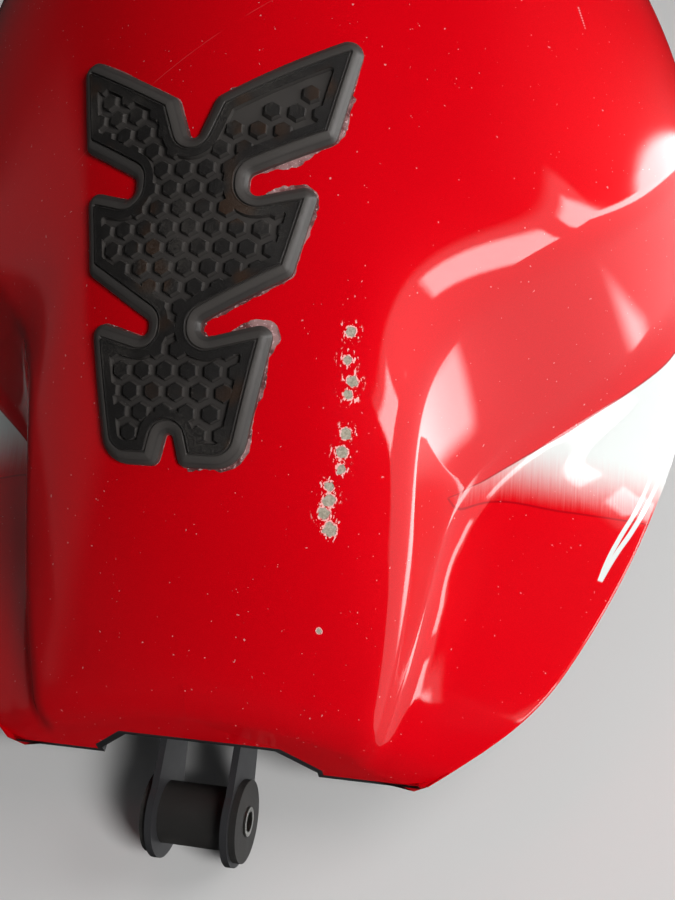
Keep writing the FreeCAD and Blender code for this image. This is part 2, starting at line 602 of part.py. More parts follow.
def under_plate(side, drop):
    """Placement on a front hole's axis, a distance below the plate's lower face."""
    spot = Vector(size("front_hole_reach"), side * size("front_hole_side"), -size("plate_thick") - drop)
    return front_frame.multiply(Placement(spot, Rotation()))


for name, side in SIDES:
    front_holes.append(cylinder("front_hole_" + name, "sizes.front_hole", "3 * sizes.plate_thick",
                                under_plate(side, size("plate_thick"))))
    turned("front_bush_" + name, bush_profile("sizes.front_hole", "sizes.plate_thick"),
           under_plate(side, size("lip_thick")))
    turned("front_collar_" + name, collar_profile("sizes.plate_thick"),
           under_plate(side, size("lip_thick") + size("collar_proud")))
cut("front_bracket", front_blank, front_holes)

# Underside: fuel pump flange with its clamp ring, outlet and plug socket, and the hose spigots
DOWN = tilted(size("under_rise_deg")).multVec(Vector(0, 0, -1))


def below_pan(x, y, drop):
    """Placement on the pan's lower face, or a distance below it, with its own Z pointing down and out."""
    face = Vector(x, y, under_z(x) - size("pan_wall"))
    return on_axis(DOWN, face + DOWN * drop)


pump_place = below_pan(size("pump_x"), size("pump_y"), 0)
turned("pump_flange", [
    ("0", "0"), ("sizes.flange_radius", "0"), ("sizes.flange_radius", "sizes.flange_thick"),
    ("sizes.boss_radius", "sizes.flange_thick"),
    ("sizes.boss_radius", "sizes.flange_thick + sizes.boss_height - sizes.boss_chamfer"),
    ("sizes.boss_radius - sizes.boss_chamfer", "sizes.flange_thick + sizes.boss_height"),
    ("0", "sizes.flange_thick + sizes.boss_height"),
], pump_place)
turned("pump_clamp_ring", [
    ("sizes.flange_radius + sizes.fit_gap", "0"), ("sizes.clamp_radius", "0"), ("sizes.clamp_radius", "sizes.clamp_thick"),
    ("sizes.flange_radius - sizes.clamp_lip", "sizes.clamp_thick"),
    ("sizes.flange_radius - sizes.clamp_lip", "sizes.flange_thick"),
    ("sizes.flange_radius + sizes.fit_gap", "sizes.flange_thick"),
], pump_place)


def beaded(pipe, length, foot, foot_thick):
    """Half profile of a pipe stub with a foot, and a bead that stops the hose behind the plain end."""
    bore, radius, bead = ("sizes.%s_%s" % (pipe, name) for name in ("bore", "radius", "bead"))
    bead_top = length + " - sizes.%s_plain" % pipe
    return [(bore, "0"), (foot, "0"), (foot, foot_thick), (radius, foot_thick),
            (radius, bead_top + " - sizes.bead_thick"), (bead, bead_top + " - sizes.bead_thick"), (bead, bead_top),
            (radius, bead_top), (radius, length + " - sizes.tip_chamfer"), (radius + " - sizes.tip_chamfer", length),
            (bore, length)]


outlet_start = below_pan(size("pump_x") - size("boss_radius") + size("outlet_sunk"), size("pump_y"),
                         size("outlet_drop"))
outlet_axis = tilted(size("under_rise_deg")).multVec(Vector(-1, 0, 0))
outlet_blank = turned("outlet_blank", beaded(
    "outlet", "(sizes.outlet_length + sizes.outlet_sunk)", "sizes.outlet_root",
    "(sizes.outlet_sunk + sizes.outlet_foot)"), on_axis(outlet_axis, outlet_start.Base))
boss_tool = cylinder("boss_tool", "sizes.boss_radius", "sizes.boss_height + 4 * sizes.flange_thick", pump_place)
cut("fuel_outlet", outlet_blank, [boss_tool])

plug_foot = size("flange_thick") + size("boss_height")
plug_frame = below_pan(size("pump_x"), size("pump_y"), plug_foot)
plug_shell = box("plug_shell", "sizes.plug_box_length", "sizes.plug_box_width", "sizes.plug_box_height",
                 plug_frame.multiply(Placement(Vector(-size("plug_box_length") / 2, -size("plug_box_width") / 2, 0),
                                               Rotation())))
plug_recess = box("plug_recess", "sizes.plug_box_length - 2 * sizes.plug_box_wall",
                  "sizes.plug_box_width - 2 * sizes.plug_box_wall", "sizes.plug_box_height",
                  plug_frame.multiply(Placement(Vector(size("plug_box_wall") - size("plug_box_length") / 2,
                                                       size("plug_box_wall") - size("plug_box_width") / 2,
                                                       size("plug_box_wall")), Rotation())))
cut("pump_connector", plug_shell, [plug_recess])

for name, side in (("vent_spigot", 1), ("drain_spigot", -1)):
    turned(name, beaded("spigot", "sizes.spigot_length", "sizes.spigot_foot", "sizes.spigot_foot_thick"),
           below_pan(size("spigot_x"), side * size("spigot_y"), 0))

# Rubber rests on the tunnel's side walls
rest_foot = under_z(size("rest_x") + size("rest_length") / 2) + size("rest_lift")
for name, side in SIDES:
    inner = side * (size("tunnel_half") - size("pan_wall") - size("rest_thick") / 2)
    chamfer = "sizes.rest_chamfer"
    rest_end, rest_top = "sizes.rest_length", "sizes.rest_height"
    padded("rest_pad_" + name, "XZ_Plane", [
        (chamfer, "0"), (rest_end + " - " + chamfer, "0"), (rest_end, chamfer),
        (rest_end, rest_top + " - " + chamfer), (rest_end + " - " + chamfer, rest_top),
        (chamfer, rest_top), ("0", rest_top + " - " + chamfer), ("0", chamfer),
    ], "sizes.rest_thick", Placement(Vector(size("rest_x") - size("rest_length") / 2, inner, rest_foot), Rotation()))

NODES = [
    "tank_shell", "tank_pan", "tank_pad", "pad_studs", "filler_neck", "filler_ring", "hinge_pin", "filler_cap",
    "cap_plug", "lock_barrel", "flap_pivot", "key_flap", "rear_bracket", "rear_bush", "rear_collar", "front_bracket",
    "front_bush_left", "front_bush_right", "front_collar_left", "front_collar_right", "pump_flange",
    "pump_clamp_ring", "fuel_outlet", "pump_connector", "vent_spigot", "drain_spigot", "rest_pad_left",
    "rest_pad_right",
]

doc.recompute()
for item in doc.Objects:
    if "Invalid" in item.State or "Error" in item.State:
        raise RuntimeError("%s failed: %s" % (item.Label, item.State))
os.makedirs("parts", exist_ok=True)
for label in NODES:
    piece = doc.getObjectsByLabel(label)[0]
    if piece.Shape.isNull() or not piece.Shape.isValid():
        raise RuntimeError("%s has no valid shape" % label)
    print(label, "solids", len(piece.Shape.Solids), "volume", round(piece.Shape.Volume))
    piece.Shape.exportStep("parts/%s.step" % label)
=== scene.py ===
"""Looks of the motorcycle fuel tank: painted shell, rubber pad, filler, fasteners, light and camera."""

import json
import logging
import math
import random
from dataclasses import dataclass, field
from enum import Enum
from functools import reduce

import bmesh
import bpy
import numpy as np
from bmesh.types import BMesh, BMFace, BMVert
from bpy.types import Material, Node, NodeSocket, NodeTree, Object
from mathutils import Euler, Matrix, Vector, noise
from mathutils.bvhtree import BVHTree


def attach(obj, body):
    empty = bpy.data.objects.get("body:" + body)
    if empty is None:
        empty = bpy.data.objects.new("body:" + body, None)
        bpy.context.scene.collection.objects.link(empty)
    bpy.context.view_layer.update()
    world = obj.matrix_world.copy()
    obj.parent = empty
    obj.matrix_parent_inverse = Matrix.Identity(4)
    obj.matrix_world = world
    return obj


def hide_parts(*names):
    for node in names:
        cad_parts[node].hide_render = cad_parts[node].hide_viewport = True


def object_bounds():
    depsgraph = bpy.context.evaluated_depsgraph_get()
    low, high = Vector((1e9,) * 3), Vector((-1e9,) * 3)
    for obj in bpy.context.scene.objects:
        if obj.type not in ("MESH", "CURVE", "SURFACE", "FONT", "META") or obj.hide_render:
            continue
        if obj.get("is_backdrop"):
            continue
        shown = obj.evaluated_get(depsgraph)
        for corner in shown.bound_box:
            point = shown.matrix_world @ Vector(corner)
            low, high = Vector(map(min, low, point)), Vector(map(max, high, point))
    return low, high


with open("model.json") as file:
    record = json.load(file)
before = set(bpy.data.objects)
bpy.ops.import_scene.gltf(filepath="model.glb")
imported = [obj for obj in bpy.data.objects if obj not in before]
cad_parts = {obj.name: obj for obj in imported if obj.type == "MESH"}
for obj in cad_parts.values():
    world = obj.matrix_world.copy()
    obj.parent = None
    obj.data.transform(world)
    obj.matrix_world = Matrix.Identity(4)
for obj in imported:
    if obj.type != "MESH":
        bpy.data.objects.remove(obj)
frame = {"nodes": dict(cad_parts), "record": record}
LOG = logging.getLogger("fuel_tank")
MM = 0.001
TANK, CAP = "tank", "cap"
# Middle of the filler ring's upper face, in millimetres.
FILLER = Vector((375, 0, 288))
Pairs = tuple[tuple[float, float], ...]
Color = tuple[float, ...]


class Slot(Enum):
    """Material slots of the record."""

    RED = "red_paint"
    BLACK = "black_paint"
    PAD = "pad_rubber"
    BUSH = "bush_rubber"
    ANODISED = "black_anodised"
    BARE = "bare_steel"
    BRIGHT = "bright_steel"
    ZINC = "zinc_steel"
    PLASTIC = "moulded_plastic"


class Cut(Enum):
    """What a tool does to a shape."""

    AWAY = "DIFFERENCE"
    KEEP = "INTERSECT"


@dataclass(frozen=True)
class Station:
    """One cross-section of the shell, in millimetres and degrees, as the part's solids have it."""

    x: float
    top: float
    crown_r: float
    crown_half: float
    flank_r: float
    lean: float
    shoulder_r: float
    fold_w: float
    fold_z: float
    fold_cut: float
    ledge_w: float
    ledge_z: float
    edge_w: float


STATIONS = [
    Station(20, 56, 140, 40, 140, 18, 14, 77, 24, 3, 86, 19, 98),
    Station(50, 91, 118, 60, 118, 14, 24, 86, 40, 6, 100, 31, 133),
    Station(85, 129, 112, 60, 112, 9, 29, 92, 52, 8, 108, 42, 157),
    Station(125, 165, 118, 60, 118, 12, 29, 101, 60, 9, 118, 50, 176),
    Station(165, 193, 126, 60, 135, 20, 33, 130, 68, 9, 150, 56, 191),
    Station(205, 220, 134, 60, 420, 20, 36, 172, 77, 9, 190, 62, 202),
    Station(250, 248, 150, 60, 320, 18, 38, 199, 88, 8, 208, 69, 208),
    Station(310, 277, 180, 60, 250, 13, 38, 209, 100, 8, 216, 80, 208),
    Station(375, 287, 200, 60, 200, 15, 36, 189, 110, 8, 196, 90, 184),
    Station(430, 277, 168, 60, 168, 18, 33, 151, 116, 8, 159, 96, 146),
    Station(478, 253, 120, 50, 120, 20, 28, 106, 120, 8, 114, 101, 102),
]

# Halves of the pad's outline laid flat, in millimetres: place across, place along, and corner radius.
PAD_RIGHT = [
    (0, 33.3, 2.6), (8.3, 55.5, 5), (68, 88.6, 6), (57.8, 38.2, 5), (25, 21.9, 3.6), (25, 12.6, 3.6),
    (53.8, 20.6, 5), (45.2, -18.4, 5), (11.3, -38.6, 2.8), (11.3, -45.2, 2.8), (40.8, -37, 5),
    (29.4, -96.4, 13), (4.6, -96, 4), (0, -77.6, 1.8),
]
PAD_LEFT = [
    (0, 33.3, 2.6), (8.3, 55.5, 5), (60.6, 84.6, 6), (52.6, 37.8, 5), (24, 21.9, 3.6), (24, 12.6, 3.6),
    (49.4, 20, 5), (43.4, -17.5, 5), (11.3, -38.6, 2.8), (11.3, -45.2, 2.8), (39, -37, 5),
    (28.6, -96, 13), (4.6, -96, 4), (0, -77.6, 1.8),
]


def rounded(before: Vector, corner: Vector, after: Vector, cut: float, count: int) -> list[Vector]:
    """Points of a soft corner between two straight runs.

    Args:
        before: End of the run that comes in.
        corner: The sharp corner.
        after: End of the run that goes out.
        cut: Length that the rounding takes from each run.
        count: Number of points.

    Returns:
        Points along the rounding, its two ends included.
    """
    start = corner + (before - corner).normalized() * cut
    end = corner + (after - corner).normalized() * cut
    shares = [k / (count - 1) for k in range(count)]
    return [start * (1 - t) ** 2 + corner * 2 * t * (1 - t) + end * t ** 2 for t in shares]


def spread(start: Vector, end: Vector, count: int) -> list[Vector]:
    """Points between two ends, both left out."""
    return [start.lerp(end, k / (count + 1)) for k in range(1, count + 1)]


def arc(centre: Vector, radius: float, first: float, last: float, count: int) -> list[Vector]:
    """Points of an arc whose angles run from the vertical towards the side.

    Args:
        centre: Centre of the arc.
        radius: Its radius.
        first: First angle in radians.
        last: Last angle in radians.
        count: Number of points, both ends included.

    Returns:
        The points.
    """
    angles = np.linspace(first, last, count)
    return [centre + Vector((math.sin(a), math.cos(a))) * radius for a in angles]


@dataclass(frozen=True)
class Underside:
    """Flat underside and frame tunnel of the shell, in millimetres and degrees."""

    tail_x: float = 20
    tail_z: float = 10
    rise_deg: float = 6.3
    tunnel_half: float = 52
    tunnel_corner: float = 16
    roof_tail_z: float = 30
    roof_rise_deg: float = 9.9
    pan_thick: float = 2.5

    def z(self, x: float) -> float:
        """Height of the underside at a station."""
        return self.tail_z + math.tan(math.radians(self.rise_deg)) * (x - self.tail_x)

    def roof(self, x: float) -> float:
        """Height of the tunnel's roof at a station."""
        return self.roof_tail_z + math.tan(math.radians(self.roof_rise_deg)) * (x - self.tail_x)

    def down(self, rise_deg: float) -> Vector:
        """Direction straight out of a face below that rises forward."""
        turn = math.radians(rise_deg)
        return Vector((math.sin(turn), 0, -math.cos(turn)))


@dataclass
class Section:
    """Half of a cross-section as (across, height) points, from the crown round to the tunnel roof."""

    station: Station
    under: Underside = Underside()
    ledge_cut: float = 5
    edge_cut: float = 2.5

    def points(self) -> tuple[list[Vector], list[Vector]]:
        """Points of the half section, always the same number of them.

        Returns:
            The skin from the middle of the crown to the lower edge, and the rest to the middle of the roof.
        """
        s = self.station
        lean = math.radians(s.lean)
        up = Vector((-math.sin(lean), math.cos(lean)))
        out = Vector((math.cos(lean), math.sin(lean)))
        crown_centre = Vector((0, s.top - s.crown_r))
        fold = Vector((s.fold_w, s.fold_z))
        crown_angle = math.asin(s.crown_half / s.crown_r)
        crown_out = Vector((math.sin(crown_angle), math.cos(crown_angle)))
        flank_centre = crown_centre + crown_out * (s.crown_r - s.flank_r)
        base = fold - out * s.shoulder_r - flank_centre
        along = base.dot(up)
        rest = base.length_squared - (s.flank_r - s.shoulder_r) ** 2
        from_flank = base + up * (math.sqrt(along ** 2 - rest) - along)
        flank_angle = math.atan2(from_flank.x, from_flank.y)
        wall_angle = math.atan2(out.x, out.y)
        crown = arc(crown_centre, s.crown_r, 0, crown_angle, 12)
        crown += arc(flank_centre, s.flank_r, crown_angle, flank_angle, 15)[1:]
        shoulder = arc(from_flank + flank_centre, s.shoulder_r, flank_angle, wall_angle, 15)
        half, corner, roof = self.under.tunnel_half, self.under.tunnel_corner, self.under.roof(s.x)
        ledge, edge = Vector((s.ledge_w, s.ledge_z)), Vector((s.edge_w, self.under.z(s.x)))
        foot, haunch = Vector((half, self.under.z(s.x))), Vector((half, roof - corner))
        shelf, middle = Vector((half - corner, roof)), Vector((0, roof))
        fold_points = rounded(shoulder[-1], fold, ledge, s.fold_cut, 9)
        ledge_points = rounded(fold, ledge, edge, self.ledge_cut, 6)
        edge_points = rounded(ledge, edge, foot, self.edge_cut, 6)
        skin = crown + shoulder[1:] + spread(shoulder[-1], fold_points[0], 6) + fold_points
        skin += spread(fold_points[-1], ledge_points[0], 3) + ledge_points
        skin += spread(ledge_points[-1], edge_points[0], 5) + edge_points
        inner = spread(edge_points[-1], foot, 5) + [foot] + spread(foot, haunch, 2) + [haunch, shelf]
        return skin, inner + spread(shelf, middle, 3) + [middle]


def cubic(xs: np.ndarray, ys: np.ndarray, at: np.ndarray) -> np.ndarray:
    """Smooth curve through a few values, with free ends.

    Args:
        xs: Places of the values, rising.
        ys: Values, one row for each place.
        at: Places to read the curve at.

    Returns:
        One row for each place read.
    """
    gaps = np.diff(xs)
    slopes = np.diff(ys, axis=0) / gaps[:, None]
    count = len(xs)
    matrix, right = np.eye(count), np.zeros_like(ys)
    for k in range(1, count - 1):
        matrix[k, k - 1:k + 2] = gaps[k - 1], 2 * (gaps[k - 1] + gaps[k]), gaps[k]
        right[k] = 6 * (slopes[k] - slopes[k - 1])
    bends = np.linalg.solve(matrix, right)
    k = np.clip(np.searchsorted(xs, at) - 1, 0, count - 2)
    gap, left, rest = gaps[k][:, None], (at - xs[k])[:, None], (xs[k + 1] - at)[:, None]
    value = (bends[k] * rest ** 3 + bends[k + 1] * left ** 3) / (6 * gap)
    value += (ys[k] / gap - bends[k] * gap / 6) * rest
    return value + (ys[k + 1] / gap - bends[k + 1] * gap / 6) * left


def placed(name: str, data: bpy.types.ID) -> Object:
    """Puts a new object in the scene.

    Args:
        name: Name of the object.
        data: Its mesh, lamp or camera.

    Returns:
        The object.
    """
    obj = bpy.data.objects.new(name, data)
    bpy.context.scene.collection.objects.link(obj)
    return obj


def mesh_of(name: str, bm: BMesh) -> bpy.types.Mesh:
    """Turns a bmesh into a mesh.

    Args:
        name: Name of the mesh.
        bm: Its shape, freed here.

    Returns:
        The mesh.
    """
    mesh = bpy.data.meshes.new(name)
    bm.to_mesh(mesh)
    bm.free()
    return mesh


def carve(shape: BMesh, tool: BMesh, cut: Cut) -> BMesh:
    """Cuts or trims one bmesh by another.

    Args:
        shape: What is worked on, freed here.
        tool: The tool, freed here.
        cut: What the tool does.

    Returns:
        The result as a new bmesh.
    """
    work, blade = placed("work", mesh_of("work", shape)), placed("blade", mesh_of("blade", tool))
    modifier = work.modifiers.new("carve", "BOOLEAN")
    modifier.operation = cut.value
    modifier.solver = "EXACT"
    modifier.object = blade
    graph = bpy.context.evaluated_depsgraph_get()
    mesh = bpy.data.meshes.new_from_object(work.evaluated_get(graph))
    result = bmesh.new()
    result.from_mesh(mesh)
    bpy.data.objects.remove(work)
    bpy.data.objects.remove(blade)
    bpy.data.meshes.remove(mesh)
    return result


def stamped(bm: BMesh, places: list[Matrix]) -> BMesh:
    """Repeats one small shape and turns millimetres into metres.

    Args:
        bm: The shape in millimetres, freed here.
        places: Where each copy goes, in millimetres.

    Returns:
        All the copies as one bmesh.
    """
    mesh = mesh_of("stamp", bm)
    result = bmesh.new()
    for place in places:
        start = len(result.verts)
        result.from_mesh(mesh)
        result.verts.ensure_lookup_table()
        bmesh.ops.transform(result, matrix=Matrix.Scale(MM, 4) @ place, verts=result.verts[start:])
    bpy.data.meshes.remove(mesh)
    return result


def turned(profile: Pairs, steps: int, closed: bool = False) -> BMesh:
    """Turns a profile round the upright axis.

    Args:
        profile: Radius and height of each point, in millimetres.
        steps: Number of steps round.
        closed: Whether the last point joins the first.

    Returns:
        The bmesh in millimetres.
    """
    bm = bmesh.new()
    verts = [bm.verts.new((radius, 0, height)) for radius, height in profile]
    ends = verts + verts[:1] if closed else verts
    edges = [bm.edges.new(pair) for pair in zip(ends, ends[1:])]
    bmesh.ops.spin(bm, geom=verts + edges, cent=(0, 0, 0), axis=(0, 0, 1), angle=math.tau, steps=steps,
                   use_merge=True)
    bmesh.ops.remove_doubles(bm, verts=bm.verts, dist=1e-4)
    bmesh.ops.recalc_face_normals(bm, faces=bm.faces)
    return bm


def drum(segments: int, radius: float, low: float, high: float, soft: float = 0) -> BMesh:
    """Upright drum or hexagon with a softened upper edge.

    Args:
        segments: Number of sides.
        radius: Radius over its corners.
        low: Height of its foot.
        high: Height of its top.
        soft: Width of the bevel.

    Returns:
        The bmesh in millimetres.
    """
    bm = bmesh.new()
    middle = Matrix.Translation((0, 0, (low + high) / 2))
    bmesh.ops.create_cone(bm, cap_ends=True, cap_tris=False, segments=segments, radius1=radius,
                          radius2=radius, depth=high - low, matrix=middle)
    if soft:
        edges = [edge for edge in bm.edges if all(vert.co.z > high - 1e-4 for vert in edge.verts)]
        bmesh.ops.bevel(bm, geom=edges, offset=soft, offset_type="OFFSET", segments=2, profile=0.5,
                        affect="EDGES", material=-1)
    return bm


def merged(first: BMesh, second: BMesh) -> BMesh:
    """Puts two shapes in one bmesh.

    Args:
        first: First shape.
        second: Second shape, freed here.

    Returns:
        The first bmesh, which now holds both.
    """
    mesh = mesh_of("joined", second)
    first.from_mesh(mesh)
    bpy.data.meshes.remove(mesh)
    return first


def towards(place: Vector, direction: Vector) -> Matrix:
    """Placement whose own Z points along a direction."""
    return Matrix.Translation(place) @ direction.to_track_quat("Z", "Y").to_matrix().to_4x4()


def drawn_up(bm: BMesh, face: BMFace) -> BMFace:
    """Extrudes a face and returns the new one, which still lies on the old."""
    made = bmesh.ops.extrude_face_region(bm, geom=[face])["geom"]
    return [item for item in made if isinstance(item, BMFace)][0]


@dataclass
class Shop:
    """Finishes of the tank, and the last step of each piece."""

    finishes: dict[Slot, Material]

    def piece(self, name: str, bm: BMesh, body: str, slot: Slot, smooth_deg: float = 35,
              finish: Material | None = None) -> Object:
        """Turns a bmesh in metres into a finished object that rides on a body.

        Args:
            name: Name of the object.
            bm: Its shape, freed here.
            body: CAD body that it moves with.
            slot: Material slot of the record.
            smooth_deg: Angle under which neighbouring faces shade as one.
            finish: Finish, where it isn't the slot's own.

        Returns:
            The new object.
        """
        mesh = mesh_of(name, bm)
        mesh.materials.append(finish or self.finishes[slot])
        mesh.shade_smooth()
        mesh.set_sharp_from_angle(angle=math.radians(smooth_deg))
        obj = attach(placed(name, mesh), body)
        LOG.info("%s: %d faces on %s", name, len(mesh.polygons), body)
        return obj

    def dress_nodes(self) -> None:
        """Gives each CAD node its finish."""
        slots = {part["node"]: Slot(part["material_slot"]) for part in frame["record"]["subparts"]}
        for name, node in frame["nodes"].items():
            material = self.finishes[slots[name]]
            for slot in node.material_slots:
                slot.material = material
            if not node.material_slots:
                node.data.materials.append(material)


@dataclass
class Shell:
    """Painted pressing of the tank as one smooth skin, with rounded ends and the tunnel under it."""

    steps: int = 132
    end_steps: int = 6
    end_radius: float = 9
    lower_edge_points: int = 5
    ring_radius: float = 61
    seat_gap: float = 1
    seat_lip: float = 5
    seat_wall: float = 2
    seat_depth: float = 12
    cutter_height: float = 60
    well_radius: float = 27.3
    well_depth: float = 63

    def rows(self, at: np.ndarray) -> np.ndarray:
        """Half sections read along the tank, in millimetres.

        Args:
            at: Stations to read.

        Returns:
            Array of station, point and (across, height).
        """
        xs = np.array([s.x for s in STATIONS], float)
        halves = np.array([[tuple(p) for p in sum(Section(s).points(), [])] for s in STATIONS])
        return cubic(xs, halves.reshape(len(xs), -1), at).reshape(len(at), -1, 2)

    def skin(self) -> BMesh:
        """Closed skin of the shell without the filler's seat.

        Returns:
            The skin as a bmesh in metres.
        """
        tail, nose = STATIONS[0].x, STATIONS[-1].x
        turns = np.linspace(math.pi / 2, 0, self.end_steps, endpoint=False)
        ends = self.end_radius * (1 - np.sin(turns))
        drawn = self.end_radius * (1 - np.cos(turns))
        inner = np.linspace(tail + self.end_radius, nose - self.end_radius, self.steps + 1)
        xs = np.concatenate([tail + ends, inner, nose - ends[::-1]])
        inset = np.concatenate([drawn, np.zeros(len(inner)), drawn[::-1]])
        halves = self.rows(xs)
        tangent = np.gradient(halves, axis=1)
        normal = np.stack([tangent[:, :, 1], -tangent[:, :, 0]], axis=2)
        normal /= np.linalg.norm(normal, axis=2)[:, :, None]
        normal[:, len(Section(STATIONS[0]).points()[0]) - self.lower_edge_points:] = 0
        halves = halves + normal * inset[:, None, None]
        half_count = halves.shape[1]
        around = 2 * (half_count - 1)
        bm = bmesh.new()
        bmesh.ops.create_grid(bm, x_segments=len(xs) - 1, y_segments=around, size=1)
        for vert in bm.verts:
            row = round((vert.co.x + 1) / 2 * (len(xs) - 1))
            column = round((vert.co.y + 1) / 2 * around)
            side = 1 if column < half_count else -1
            point = halves[row, column if side > 0 else around - column]
            vert.co = Vector((xs[row], -side * point[0], point[1])) * MM
        bmesh.ops.remove_doubles(bm, verts=bm.verts, dist=1e-6)
        rims = [edge for edge in bm.edges if edge.is_boundary]
        bmesh.ops.holes_fill(bm, edges=rims, sides=0)
        bmesh.ops.recalc_face_normals(bm, faces=bm.faces)
        return bm

    def seat_cutter(self) -> BMesh:
        """Turned tool that cuts the filler's well, and its seat with a soft lip.

        Returns:
            The tool as a bmesh in metres.
        """
        radius, lip, well = self.ring_radius + self.seat_gap, self.seat_lip, self.well_radius
        profile = [(0, -self.well_depth), (well, -self.well_depth), (well, 0), (radius, 0)]
        for turn in np.radians(np.arange(0, 91, 15)):
            profile.append((radius + lip * (1 - math.cos(turn)), self.seat_wall + lip * math.sin(turn)))
        profile += [(radius + lip, self.cutter_height), (0, self.cutter_height)]
        return stamped(turned(profile, 128), [Matrix.Translation(FILLER - Vector((0, 0, self.seat_depth)))])

    def build(self, shop: Shop) -> Object:
        """Makes the painted shell and puts it in the place of the CAD node.

        Args:
            shop: Where the piece is finished.

        Returns:
            The shell.
        """
        skin = carve(self.skin(), self.seat_cutter(), Cut.AWAY)
        shell = shop.piece("painted_shell", skin, TANK, Slot.RED, 40)
        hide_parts("tank_shell")
        return shell


@dataclass
class Crown:
    """The crown as a surface to lay flat things on."""

    tree: BVHTree
    centre_x: float = 160
    centre_y: float = 6.7
    bend: float = 126
    clear: float = 40
    samples: int = 460

    def __post_init__(self) -> None:
        """Reads the crown's line on the middle plane."""
        self.xs = np.linspace(STATIONS[0].x, STATIONS[-1].x, self.samples)
        self.tops = Shell().rows(self.xs)[:, 0, 1]
        runs = np.cumsum(np.hypot(np.diff(self.xs), np.diff(self.tops)))
        lengths = np.concatenate([[0], runs])
        self.lengths = lengths - np.interp(self.centre_x, self.xs, lengths)
        self.slopes = np.arctan2(np.gradient(self.tops), np.gradient(self.xs))

    def lay(self, flat: Vector) -> Vector:
        """Point above the crown, reached along its surface from the pad's centre.

        Args:
            flat: Distance to the right, distance forward and height above the skin, in millimetres.

        Returns:
            The point, in metres.
        """
        rows = (self.xs, self.tops, self.slopes)
        x, z, slope = (float(np.interp(flat.y, self.lengths, row)) for row in rows)
        normal = Vector((-math.sin(slope), 0, math.cos(slope)))
        turn = flat.x / self.bend - math.asin(self.centre_y / self.bend)
        out = normal * math.cos(turn) + Vector((0, -1, 0)) * math.sin(turn)
        middle = Vector((x, 0, z)) - normal * self.bend
        hit = self.tree.ray_cast((middle + out * (self.bend + self.clear)) * MM, -out)[0]
        base = hit if hit is not None else (middle + out * self.bend) * MM
        return base + out * flat.z * MM


